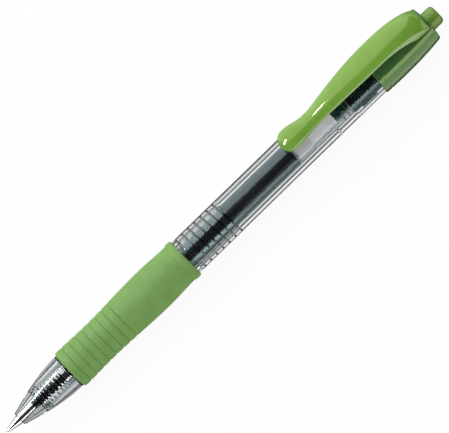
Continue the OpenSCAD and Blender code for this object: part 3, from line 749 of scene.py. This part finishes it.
def grip_sleeve(material):
    inner = GRIP_SEAT_R + FIT
    front, front_r = GRIP_STATIONS[0]
    neck, neck_r = GRIP_STATIONS[-1]
    outline = [(front, inner)]
    for a in quarter(8):
        outline.append((front + GRIP_EDGE * (1 - math.cos(a)), front_r - GRIP_EDGE * (1 - math.sin(a))))
    outline += [(x, grip_radius(x)) for x in spread(front + GRIP_EDGE, neck, GRIP_ROW)[1:]]
    half = (GRIP_END - neck) / 2
    for k in range(1, BEAD_STEPS):
        a = math.pi * k / BEAD_STEPS
        outline.append((neck + half * (1 - math.cos(a)), neck_r + BEAD_RISE * math.sin(a)))
    outline += [(GRIP_END, BEAD_END_R), (GRIP_END, inner)]
    piece = turned("grip_sleeve_rubber", outline)
    grow(piece, RING_GROOVES, First=GROOVE_FIRST * MM, Spacing=GROOVE_SPACING * MM, Count=float(GROOVE_COUNT),
         Width=GROOVE_WIDTH * MM, Depth=GROOVE_DEPTH * MM, Crown=BAND_CROWN * MM,
         Inner_radius=GROOVED_FROM_R * MM, Material=material)
    dress(piece, "grip", "grip_rubber", material, "grip_sleeve")


# Barrel and collar
COLLAR_X = 120.4
CAP_X = 134.2
TOP_X = 138.8
SPIGOT_R = 4.5
CHAMBER_X = 112.0
CHAMBER_R = 3.9
BARREL_BORE_R = 3.65
RING_X = 105.5
RING_END = 106.1
RING_R = 4.1
THREAD_BORE_R = 3.9
THREAD_BORE_END = 73.3


def barrel(material):
    front = BARREL_X + JOINT_GAP
    step = COLLAR_X - JOINT_GAP
    end = CAP_X - JOINT_GAP
    outline = rounded([
        (front, THREAD_BORE_R, 0), (front, BARREL_R, 0.2), (step, BARREL_R, 0.08), (step, SPIGOT_R, 0),
        (end, SPIGOT_R, 0), (end, CHAMBER_R, 0), (CHAMBER_X, CHAMBER_R, 0), (CHAMBER_X, BARREL_BORE_R, 0),
        (RING_END, BARREL_BORE_R, 0.05), (RING_END, RING_R, 0), (RING_X, RING_R, 0),
        (RING_X, BARREL_BORE_R, 0.05), (THREAD_BORE_END, BARREL_BORE_R, 0.05)])
    outline += rows(THREAD_BORE_END, front + THREAD_ROW, THREAD_ROW, THREAD_BORE_R)
    piece = turned("barrel_clear", outline)
    wind_thread(
        piece, material, THREAD_BORE_R, from_turn=-1.1, to_turn=THREAD_TURNS + 0.1, height=0.15, root=0.4)
    dress(piece, "barrel", "clear_barrel", material, "barrel")


SWELL_X = 126.1
COLLAR_R = 5.4
COLLAR_LOW_R = 5.25
COLLAR_RIM_R = 4.75
COLLAR_EDGE = 0.15
COLLAR_ROW = 0.1
RIM_ROUND = 0.5
RIM_DROP = 0.3
SWELL_POWER = 2.5
BUTTON_HOLE_R = 2.6
SCORE_X = 122.0
SCORE_HALF = 0.2
SCORE_DEPTH = 0.16


def collar_radius(x):
    """The radius of the collar at x, which falls off on both sides of its swell."""
    if x < SWELL_X:
        fall, share = COLLAR_R - COLLAR_LOW_R, (SWELL_X - x) / (SWELL_X - COLLAR_X)
    else:
        fall, share = COLLAR_R - COLLAR_RIM_R, (x - SWELL_X) / (TOP_X - RIM_ROUND - SWELL_X)
    return COLLAR_R - fall * share ** SWELL_POWER


HEEL_X = 136.2
HEEL_Z = 4.03
HEEL_R = 0.8
HEEL_HALF = 2.6
HEEL_AROUND = 40
SLOT_W = 1.28
SLOT_TALL = 3.0
CLIP_GAP = 0.08


def heel_cutters():
    """The round and the slot that make room in the collar for the clip's heel and its neck."""
    width = 2 * (HEEL_HALF + CLIP_GAP) * MM
    radius = (HEEL_R + CLIP_GAP) * MM
    heel = Matrix.Translation(Vector((HEEL_X, 0, HEEL_Z)) * MM)
    socket = bmesh.new()
    bmesh.ops.create_cone(
        socket, cap_ends=True, segments=48, radius1=radius, radius2=radius, depth=width,
        matrix=heel @ Matrix.Rotation(math.pi / 2, 4, "X"))
    neck = Matrix.Translation(Vector((HEEL_X, 0, HEEL_Z + SLOT_TALL / 2)) * MM)
    slot = bmesh.new()
    bmesh.ops.create_cube(
        slot, size=1, matrix=neck @ Matrix.Diagonal((SLOT_W * MM, width, SLOT_TALL * MM, 1)))
    return [new_piece(name, to_mesh(name, bm)) for name, bm in (("heel_socket", socket), ("heel_slot", slot))]


def clip_collar(material):
    bore = SPIGOT_R + FIT
    rim_x = TOP_X - RIM_ROUND - RIM_DROP
    outline = [
        (COLLAR_X, bore), (COLLAR_X, COLLAR_LOW_R - COLLAR_EDGE),
        (COLLAR_X + COLLAR_EDGE / 3, COLLAR_LOW_R - COLLAR_EDGE / 3)]
    for x in spread(COLLAR_X + COLLAR_EDGE, rim_x, COLLAR_ROW):
        score = SCORE_DEPTH * max(0.0, 1 - abs(x - SCORE_X) / SCORE_HALF)
        outline.append((x, collar_radius(x) - score))
    rim_r = collar_radius(rim_x)
    for a in quarter(8)[1:]:
        outline.append((rim_x + RIM_ROUND * math.sin(a), rim_r - RIM_ROUND * (1 - math.cos(a))))
    outline += [(TOP_X - 0.03, BUTTON_HOLE_R + 0.12), (TOP_X - 0.1, BUTTON_HOLE_R)]
    outline += [(CAP_X, BUTTON_HOLE_R), (CAP_X, bore)]
    piece = turned("clip_collar_satin", outline)
    for cutter in heel_cutters():
        cut = piece.modifiers.new("cut", "BOOLEAN")
        cut.object = cutter
        cut.operation = "DIFFERENCE"
        settle(piece)
        bpy.data.objects.remove(cutter)
    dress(piece, "barrel", "collar_green", material, "clip_collar")


# Clip
CLIP_X = 93.1
ROOT_X = 137.9
ARCH_X = 124.3
WAIST_X = 102.5
BULB_X = 95.9
BELLY_X = 98.0
CLIP_W = 6.8
CLIP_WAIST_W = 4.3
CLIP_BULB_W = 5.5
CLIP_T = 1.3
CLIP_CROWN = 0.6
CLIP_EDGE = 0.3
CLIP_LEAST_EDGE = 0.05
CLIP_EDGE_SHARE = 0.8
CLIP_LOW_EDGE = 0.25
BULB_Z = 5.05
BULB_RISE = 1.0
WAIST_Z = 5.7
ARCH_Z = 8.1
ROOT_TOP_Z = 4.9
ROOT_DROP = 1.0
BULB_BELLY = 0.5
BULB_POWER = 2.2
ARCH_POWER = 2.2
UNDER_POWER = 1.65
SPREAD_POWER = 0.75
LIFT_POWER = 0.6
SWELL_SHARE = 0.9
CLIP_SWING = math.radians(5)
CLIP_COLUMNS = 18
BULB_RINGS = 22
ARM_RINGS = 90
ROOT_RINGS = 60
FIRST_RING = math.radians(4)


def round_off(u, power):
    """The height of a round corner at share u of its length."""
    return max(0.0, 1 - min(1.0, max(0.0, u)) ** power) ** (1 / power)


def past_waist(x, power):
    return max(0.0, (x - WAIST_X) / (ARCH_X - WAIST_X)) ** power


def past_arch(x):
    return max(0.0, (x - ARCH_X) / (ROOT_X - ARCH_X))


def swell(x, middle):
    """The share of the bulb's height at x, which is full from its middle on."""
    return round_off((middle - x) / (middle - CLIP_X), 2) ** SWELL_SHARE


def clip_width(x):
    if x < BULB_X:
        return CLIP_BULB_W * round_off((BULB_X - x) / (BULB_X - CLIP_X), BULB_POWER)
    if x < WAIST_X:
        return ease(CLIP_BULB_W, CLIP_WAIST_W, (x - BULB_X) / (WAIST_X - BULB_X))
    return ease(CLIP_WAIST_W, CLIP_W, past_waist(x, SPREAD_POWER))


ARCH_REACH = ROOT_X - ARCH_X + 0.6
UNDER_REACH = ROOT_X - ARCH_X - 3.4
ARCH_TOP_Z = ARCH_Z + CLIP_T
ARCH_FALL = (ARCH_TOP_Z - ROOT_TOP_Z) / (1 - round_off((ROOT_X - ARCH_X) / ARCH_REACH, ARCH_POWER))
UNDER_FALL = ARCH_Z - BUTTON_HOLE_R
BULB_TOP_Z = WAIST_Z + CLIP_T + BULB_RISE


def clip_under(x):
    if x < WAIST_X:
        return ease(BULB_Z, WAIST_Z, (x - BELLY_X) / (WAIST_X - BELLY_X))
    if x < ARCH_X:
        return ease(WAIST_Z, ARCH_Z, past_waist(x, LIFT_POWER))
    return ARCH_Z - UNDER_FALL * (1 - round_off((x - ARCH_X) / UNDER_REACH, UNDER_POWER))


def clip_over(x):
    if x < WAIST_X:
        return ease(BULB_TOP_Z, WAIST_Z + CLIP_T, (x - BULB_X) / (WAIST_X - BULB_X))
    if x < ARCH_X:
        return clip_under(x) + CLIP_T
    return ARCH_TOP_Z - ARCH_FALL * (1 - round_off((x - ARCH_X) / ARCH_REACH, ARCH_POWER))


def clip_drop(x):
    """How far the clip's edges bend down round the collar towards the root."""
    return ROOT_DROP * past_arch(x) ** 3


def clip_hump(x):
    """How far the clip's middle stands above its edges."""
    return CLIP_CROWN * (1 + past_arch(x) ** 2) + clip_drop(x)


def clip_belly(x):
    """How far the underside of the bulb swells below its sides."""
    return ease(BULB_BELLY, 0.0, (x - BELLY_X) / (WAIST_X - BELLY_X))


def clip_floor(x, y):
    """Height of the collar under the clip, with room for the clip to turn on its heel."""
    if x < COLLAR_X:
        return 0.0
    r = collar_radius(x) + CLIP_GAP + max(0.0, x - HEEL_X) * math.sin(CLIP_SWING)
    return math.sqrt(max(0.0, r * r - y * y))


def clip_ring(x):
    """A section of the clip, with soft upper edges."""
    half = clip_width(x) / 2
    low_edge = min(CLIP_LOW_EDGE, half / 4)
    over, under = clip_over(x) - clip_drop(x), clip_under(x)
    middle = (over + under) / 2
    high = middle + (over - middle) * swell(x, BULB_X)
    low = middle + (under - middle) * swell(x, BELLY_X)
    hump = clip_hump(x) * swell(x, BULB_X)
    belly = clip_belly(x) * swell(x, BELLY_X)
    side_low = max(low + belly, clip_floor(x, half)) + low_edge
    edge = min(CLIP_EDGE, half / 3, max(CLIP_LEAST_EDGE, (high - side_low) * CLIP_EDGE_SHARE))
    flat = half - edge
    right = [(half, side_low), (half, (side_low + high - edge) / 2)]
    for a in quarter(5):
        right.append((flat + edge * math.cos(a), high - edge + edge * math.sin(a)))
    top = []
    for i in range(1, CLIP_COLUMNS):
        u = 1 - 2 * i / CLIP_COLUMNS
        top.append((u * flat, high + hump * (1 - u * u)))
    bottom = []
    for i in range(CLIP_COLUMNS + 1):
        u = 2 * i / CLIP_COLUMNS - 1
        y = u * (half - low_edge)
        bottom.append((y, max(low + belly * u * u, clip_floor(x, y))))
    left = [(-y, z) for y, z in reversed(right)]
    return [(x * MM, y * MM, z * MM) for y, z in right + top + left + bottom]


def clip_places():
    """Places of the clip's sections, close together where its shape turns."""
    places = []
    for i in range(BULB_RINGS):
        a = FIRST_RING + (math.pi / 2 - FIRST_RING) * i / BULB_RINGS
        places.append(BULB_X - (BULB_X - CLIP_X) * math.cos(a))
    for i in range(ARM_RINGS):
        places.append(BULB_X + (ARCH_X - BULB_X) * i / ARM_RINGS)
    for a in quarter(ROOT_RINGS):
        places.append(ARCH_X + (ROOT_X - ARCH_X) * math.sin(a))
    return places


def heel_ring(y):
    """A round of the heel under the clip's root."""
    ring = []
    for j in range(HEEL_AROUND):
        a = 2 * math.pi * j / HEEL_AROUND
        ring.append(((HEEL_X + HEEL_R * math.cos(a)) * MM, y * MM, (HEEL_Z + HEEL_R * math.sin(a)) * MM))
    return ring


def pocket_clip(material):
    piece = capped("pocket_clip_gloss", [clip_ring(x) for x in clip_places()])
    join(piece, capped("clip_heel", [heel_ring(-HEEL_HALF), heel_ring(HEEL_HALF)]))
    dress(piece, "clip", "clip_green", material, "pocket_clip")


# Button and rotor
BUTTON_X = 124.25
BUTTON_END = 142.0
BUTTON_R = 2.5
BUTTON_FACE_R = 0.7
BUTTON_ROUND = 1.0
BUTTON_BORE_R = 1.85
BUTTON_BORE_END = 139.0
BUTTON_ROW = 3.0
TEETH = 8
TEETH_END = 125.0
TOOTH_DEPTH = 0.7
TOOTH_HALF = 0.4
RIB_COUNT = 4


def add_ribs(piece, material, size, middle):
    """Adds even ribs round the pen's axis to a piece."""
    ribs = blank("ribs")
    grow(ribs, RIBS, Size=Vector(size) * MM, Middle=Vector(middle) * MM, Count=RIB_COUNT, Material=material)
    join(piece, ribs)


def button_notch(x, r, angle):
    """Moves the points of the button's lower end up into its notches."""
    if x > BUTTON_X:
        return x, r
    turn = (angle / (2 * math.pi) * TEETH + 0.5) % 1
    return x + TOOTH_DEPTH * max(0.0, 1 - abs(turn - 0.5) / TOOTH_HALF), r


def push_button(material):
    outline = [(BUTTON_X, BUTTON_BORE_R), (BUTTON_X, BUTTON_R)]
    outline += rows(TEETH_END, BUTTON_END - BUTTON_ROUND, BUTTON_ROW, BUTTON_R)
    for a in quarter(10)[1:]:
        x = BUTTON_END - BUTTON_ROUND * (1 - math.sin(a))
        outline.append((x, BUTTON_R - BUTTON_ROUND * (1 - math.cos(a))))
    outline += [(BUTTON_END, BUTTON_FACE_R), (BUTTON_END, 0.0), (BUTTON_BORE_END, 0.0)]
    outline += [(BUTTON_BORE_END, BUTTON_BORE_R), (TEETH_END, BUTTON_BORE_R)]
    piece = turned("push_button_gloss", outline, button_notch)
    add_ribs(piece, material, (1.6, 1.0, 1.2), (125.75, 0, 2.78))
    dress(piece, "button", "button_green", material, "push_button")


def rotor_cam(material):
    foot, skirt, rib, top, end = 111.5, 113.8, 118.6, 124.1, 129.1
    foot_r, skirt_r, core_r, stem_r, hollow_r = 3.4, 3.8, 2.5, 1.75, 1.7
    piece = turned("rotor_cam_satin", rounded([
        (foot, hollow_r, 0.1), (foot, foot_r, 0.25), (skirt, foot_r, 0.1), (skirt, skirt_r, 0.2),
        (rib, skirt_r, 0.2), (rib, core_r, 0.1), (top, core_r, 0.1), (top, stem_r, 0), (end, stem_r, 0.3),
        (end, 0.0, 0), (rib, 0.0, 0), (rib - hollow_r, hollow_r, 0)]))
    add_ribs(piece, material, (top - rib, 1.0, 1.3), ((top + rib) / 2, 0, 2.73))
    dress(piece, "rotor", "rotor_green", material, "rotor_cam")


# Refill and spring
TUBE_X = 28.5
TUBE_END = 111.4
TUBE_R = 3.05
TUBE_BORE_R = 2.45
WET_R = TUBE_BORE_R + 0.01
INK_END = 94.1


def refill_tube(material):
    piece = turned("refill_tube_milky", rounded([
        (TUBE_X, TUBE_BORE_R, 0), (TUBE_X, TUBE_R, 0.05), (TUBE_END, TUBE_R, 0.12),
        (TUBE_END, TUBE_BORE_R, 0.12)]))
    dress(piece, "refill", "tube_plastic", material, "refill_tube")


def ink_column(material):
    start, neck_end, neck_r = 12.55, 33.05, 1.13
    piece = turned("ink_column_wet", [
        (start, 0.0), (start, neck_r), (neck_end, neck_r), (neck_end, WET_R), (INK_END - 0.1, WET_R),
        (INK_END + 0.05, WET_R - 0.1), (INK_END, 0.0)])
    dress(piece, "refill", "black_ink", material, "ink_column")


def ink_follower(material):
    start, end = INK_END + 0.1, 99.0
    piece = turned("ink_follower_grease", [
        (start, 0.0), (start, WET_R), (end + 0.1, WET_R), (end + 0.05, WET_R - 0.3), (end, 1.4),
        (end - 0.02, 0.0)])
    dress(piece, "refill", "clear_grease", material, "ink_follower")


def tail_plug(material):
    start, core_r, vent_r, lip = 106.9, 2.05, 0.4, 0.4
    cap = TUBE_END - 0.3
    corners = [(start, vent_r, 0), (start, core_r, 0.2)]
    for x in (108.6, 110.05):
        corners += [(x, core_r, 0), (x, WET_R, 0.1), (x + lip, WET_R, 0.1), (x + lip, core_r, 0)]
    corners += [(cap, core_r, 0), (cap, WET_R, 0.1), (TUBE_END, WET_R, 0.1), (TUBE_END, vent_r, 0)]
    piece = turned("tail_plug_green", rounded(corners))
    dress(piece, "refill", "plug_green", material, "tail_plug")


def tip_holder(material):
    front, flange, shoulder, end = 9.0, 27.5, 28.48, 33.0
    socket_r, bore_r, bore_x = 0.87, 1.15, 12.52
    stem_r, flange_r, plug_r = 1.7, 3.0, 2.43
    piece = turned("tip_holder_black", rounded([
        (front, socket_r, 0), (front, 1.2, 0.15), (21.0, 1.45, 0), (22.0, stem_r, 0), (flange, stem_r, 0),
        (flange, flange_r, 0.1), (shoulder, flange_r, 0.1), (shoulder, plug_r, 0), (end, plug_r, 0.1),
        (end, bore_r, 0), (bore_x, bore_r, 0), (bore_x, socket_r, 0)]))
    dress(piece, "refill", "holder_plastic", material, "tip_holder")


def tip_socket(material):
    lip, cone_end, shoulder, end = 0.224, 3.7, 8.98, 12.5
    body_r, tail_r, bore_r, channel_r = 1.15, 0.85, 0.55, 0.14
    piece = turned("tip_socket_metal", [
        (lip, 0.348), (lip, 0.4), (0.26, 0.42), (cone_end, body_r), (shoulder, body_r), (shoulder, tail_r),
        (end, tail_r), (end, bore_r), (cone_end, bore_r), (3.29, channel_r), (0.693, channel_r)])
    dress(piece, "refill", "tip_metal", material, "tip_socket")


SPRING_X = 11.375
SPRING_END = 27.225
SPRING_R = 2.5
WIRE_R = 0.225
SPRING_TURNS = 21
STEPS_PER_TURN = 32


def return_spring(material):
    piece = blank("return_spring_wire")
    grow(piece, WOUND_WIRE, Start=SPRING_X * MM, End=SPRING_END * MM, Radius=SPRING_R * MM, Wire=WIRE_R * MM,
         Turns=float(SPRING_TURNS), Steps=SPRING_TURNS * STEPS_PER_TURN, Material=material)
    paint(piece, material)
    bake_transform(piece)
    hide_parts("return_spring")


# The pen
def make_pen():
    """Builds each piece with its material. The cam sleeve and the ball keep their CAD shapes."""
    # The clear nose carries lines of painted shade at its front step, its seat steps and its thread, and the
    # barrel at its thread
    nose_cone(clear_plastic(
        "clear_nose",
        line_set(first=4.25, spacing=1.0, count=1, twist=0, width=0.35, reach=2.0),
        line_set(SEAT_X, SEAT_STEP, len(SEAT_RADII) - 1, twist=0, width=0.3, reach=3.5),
        line_set(THREAD_X, THREAD_PITCH, count=6, twist=1, width=0.36, reach=4.4)))
    grip_sleeve(grip_rubber())
    barrel(clear_plastic(
        "clear_barrel", line_set(THREAD_X, THREAD_PITCH, count=6, twist=1, width=0.44, reach=4.4)))
    clip_collar(moulded_plastic(
        "collar_green", (0.062, 0.156, 0.046), (0.057, 0.144, 0.042),
        smooth=0.10, rough=0.16, grain=0.002, index=1.7, shine=GREEN_SHINE))
    pocket_clip(moulded_plastic(
        "clip_green", (0.178, 0.373, 0.047), (0.169, 0.354, 0.043),
        smooth=0.06, rough=0.10, grain=0.0005, index=1.55))
    push_button(moulded_plastic(
        "button_green", (0.155, 0.310, 0.046), (0.145, 0.290, 0.042),
        smooth=0.12, rough=0.20, grain=0.001, index=1.5))
    refill_tube(tube_plastic())
    ink_column(wet_ink())
    ink_follower(clear_grease(INK_END))
    tail_plug(moulded_plastic(
        "plug_green", (0.008, 0.170, 0.075), (0.007, 0.150, 0.066),
        smooth=0.08, rough=0.12, grain=0.0003, gloss=0.15))
    tip_holder(moulded_plastic(
        "holder_plastic", (0.010, 0.010, 0.012), (0.008, 0.008, 0.010),
        smooth=0.06, rough=0.10, grain=0.0003, gloss=0.3))
    tip_socket(bright_metal(
        "tip_metal", (0.60, 0.59, 0.56), (0.55, 0.54, 0.51), smooth=0.06, rough=0.09, grain=0.0004))
    return_spring(bright_metal(
        "spring_steel", (0.60, 0.60, 0.62), (0.54, 0.54, 0.56), smooth=0.08, rough=0.12, grain=0.0004))
    rotor_cam(moulded_plastic(
        "rotor_green", (0.008, 0.030, 0.016), (0.006, 0.026, 0.014),
        smooth=0.08, rough=0.12, grain=0.0003, gloss=0.15))
    paint(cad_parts["cam_sleeve"], moulded_plastic(
        "sleeve_green", (0.05, 0.14, 0.06), (0.045, 0.125, 0.055), smooth=0.30, rough=0.40, grain=0.002))
    paint(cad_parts["writing_ball"], bright_metal(
        "ball_metal", (0.70, 0.70, 0.72), (0.66, 0.66, 0.68), smooth=0.10, rough=0.16, grain=0.001))


make_pen()


# Studio: a pale floor, a bright background and soft lights, with painted bands of light and shade on the
# floor for clear plastic and gloss
SHADOW_SHARE = 0.06
PAPER = 0.85
FLOOR_HALF = 3.0
FLOOR_GAP = 0.02
# Painted shade on the floor that only clear plastic sees, by place across the pen in millimetres: dark
# stripes and a painted shadow under the pen between bright bands
PAINTED_SHADE_THROUGH_BARREL = (
    (-9.5, 0.03), (-6.1, 0.03), (-5.3, 0.8), (-3.25, 0.95), (-2.85, 0.03), (-1.8, 0.03), (-1.3, 0.6),
    (4.4, 0.6), (5.0, 0.03), (10.1, 0.03), (11.1, 1.0), (12.5, 0.9), (14.5, 0.4), (18.0, 0.6), (22.0, 0.8),
    (26.0, 0.8), (29.0, 0.03))
PAINTED_SHADE_THROUGH_NOSE = (
    (-9.5, 0.06), (-5.0, 0.06), (-2.3, 0.65), (-1.2, 0.08), (-0.5, 0.4), (4.4, 0.6), (7.3, 0.15),
    (10.2, 0.85), (14.0, 0.38), (20.0, 0.03))
NOSE_BANDS_END = (28.0, 32.0)
# Painted reflection on the floor that only gloss sees: bright in front of the pen, a painted shadow from just
# in front of it to far behind it, then brighter again
PAINTED_SHADE_MIRRORED = ((-9.0, 1.0), (-7.6, 0.06), (28.0, 0.06), (38.0, 0.6))
MIRROR_GLOW = 1.6
CEILING = 0.05
FILL = 0.15
RAY_KINDS = ("diffuse", "glossy", "transmission")


def bands(tree, value, stops):
    """A brightness that goes from stop to stop, each a place in millimetres and its brightness."""
    low, high = stops[0][0], stops[-1][0]
    node = put(tree, "ShaderNodeValToRGB", {"Fac": ramp(tree, value, low * MM, high * MM, shape="LINEAR")})
    marks = node.color_ramp.elements
    for mark, (_, grey) in ((marks[0], stops[0]), (marks[1], stops[-1])):
        mark.color = (grey, grey, grey, 1)
    for place, grey in stops[1:-1]:
        mark = marks.new((place - low) / (high - low))
        mark.color = (grey, grey, grey, 1)
    return node.outputs["Color"]


def sent_on(tree, rays):
    """1 for rays that gloss or clear plastic sends on."""
    return calc(tree, "MAXIMUM", rays["Is Glossy Ray"], rays["Is Transmission Ray"])


def make_floor():
    """Pale paper that the camera sees as white, and that clear plastic and gloss see as painted bands of
    light and shade along the pen, with a painted shadow under it.
    """
    bm = bmesh.new()
    bmesh.ops.create_grid(bm, x_segments=1, y_segments=1, size=FLOOR_HALF)
    floor = new_piece("floor", to_mesh("floor", bm))
    floor.location.z = cad_low.z - FLOOR_GAP * MM
    material = bpy.data.materials.new("floor_white")
    material.use_nodes = True
    tree = material.node_tree
    tree.nodes.clear()
    rays = put(tree, "ShaderNodeLightPath").outputs
    place = put(tree, "ShaderNodeTexCoord").outputs["Object"]
    parts = put(tree, "ShaderNodeSeparateXYZ", {0: place}).outputs
    # Painted shade bands that gloss and clear plastic see: the nose's bands near the nose, the barrel's
    # further along the pen
    mirrored = calc(tree, "MULTIPLY", bands(tree, parts["Y"], PAINTED_SHADE_MIRRORED), MIRROR_GLOW)
    through_nose = bands(tree, parts["Y"], PAINTED_SHADE_THROUGH_NOSE)
    through_barrel = bands(tree, parts["Y"], PAINTED_SHADE_THROUGH_BARREL)
    behind_nose = ramp(tree, parts["X"], NOSE_BANDS_END[0] * MM, NOSE_BANDS_END[1] * MM)
    seen = either(tree, behind_nose, through_nose, through_barrel)
    glow = either(tree, rays["Is Transmission Ray"], mirrored, seen)
    glow = either(tree, rays["Is Camera Ray"], glow, 1.0)
    share = either(tree, rays["Is Camera Ray"], sent_on(tree, rays), 1 - SHADOW_SHARE)
    paper = put(tree, "ShaderNodeBsdfDiffuse", {"Color": (PAPER, PAPER, PAPER, 1)}).outputs[0]
    white = put(tree, "ShaderNodeEmission", {"Color": (1, 1, 1, 1), "Strength": glow}).outputs[0]
    both = put(tree, "ShaderNodeMixShader", {0: share, 1: paper, 2: white}).outputs[0]
    put(tree, "ShaderNodeOutputMaterial", {"Surface": both})
    floor.data.materials.append(material)


def make_world():
    """A dim room that the camera sees as white."""
    world = bpy.data.worlds.new("studio")
    scene.world = world
    world.use_nodes = True
    tree = world.node_tree
    tree.nodes.clear()
    rays = put(tree, "ShaderNodeLightPath").outputs
    room = either(tree, sent_on(tree, rays), FILL, CEILING)
    strength = either(tree, rays["Is Camera Ray"], room, 1.0)
    light = put(tree, "ShaderNodeBackground", {"Color": (1, 1, 1, 1), "Strength": strength}).outputs[0]
    put(tree, "ShaderNodeOutputWorld", {"Surface": light})


def softbox(name, across, tilt, wide, tall, distance, radiance, aim, lights=RAY_KINDS):
    """A soft light, placed by its angle from the camera across the pen and its tilt towards the button."""
    across, tilt = math.radians(across), math.radians(tilt)
    side = TO_CAMERA * math.cos(across) + ACROSS * math.sin(across)
    out = side * math.cos(tilt) + PEN_AXIS * math.sin(tilt)
    along = (PEN_AXIS - out * PEN_AXIS.dot(out)).normalized()
    light = bpy.data.lights.new(name, "AREA")
    light.shape = "RECTANGLE"
    light.size = wide
    light.size_y = tall
    light.energy = radiance * math.pi * wide * tall
    lamp = bpy.data.objects.new(name, light)
    turn = Matrix((along, out.cross(along), out)).transposed().to_4x4()
    lamp.matrix_world = Matrix.Translation(PEN_AXIS * aim * MM + out * distance) @ turn
    lamp.visible_camera = False
    for kind in RAY_KINDS:
        setattr(lamp, "visible_" + kind, kind in lights)
    scene.collection.objects.link(lamp)


def make_studio():
    make_floor()
    make_world()
    softbox("top_softbox", across=70, tilt=0, wide=1.20, tall=0.92, distance=0.5, radiance=1.9, aim=80)
    softbox("low_softbox", across=-54.5, tilt=0, wide=1.20, tall=0.18, distance=0.5, radiance=1.8, aim=80,
            lights=("diffuse",))
    softbox("low_strip", across=-54.5, tilt=0, wide=1.18, tall=0.177, distance=0.49, radiance=3.2, aim=80,
            lights=("glossy", "transmission"))
    softbox("key_light", across=-10, tilt=-50, wide=0.50, tall=0.50, distance=1.0, radiance=2.0, aim=70,
            lights=("diffuse",))
    softbox("streak_light", across=46, tilt=-36, wide=0.42, tall=0.11, distance=0.6, radiance=45.0, aim=105,
            lights=("glossy",))
    scene.view_settings.view_transform = "Standard"


make_studio()
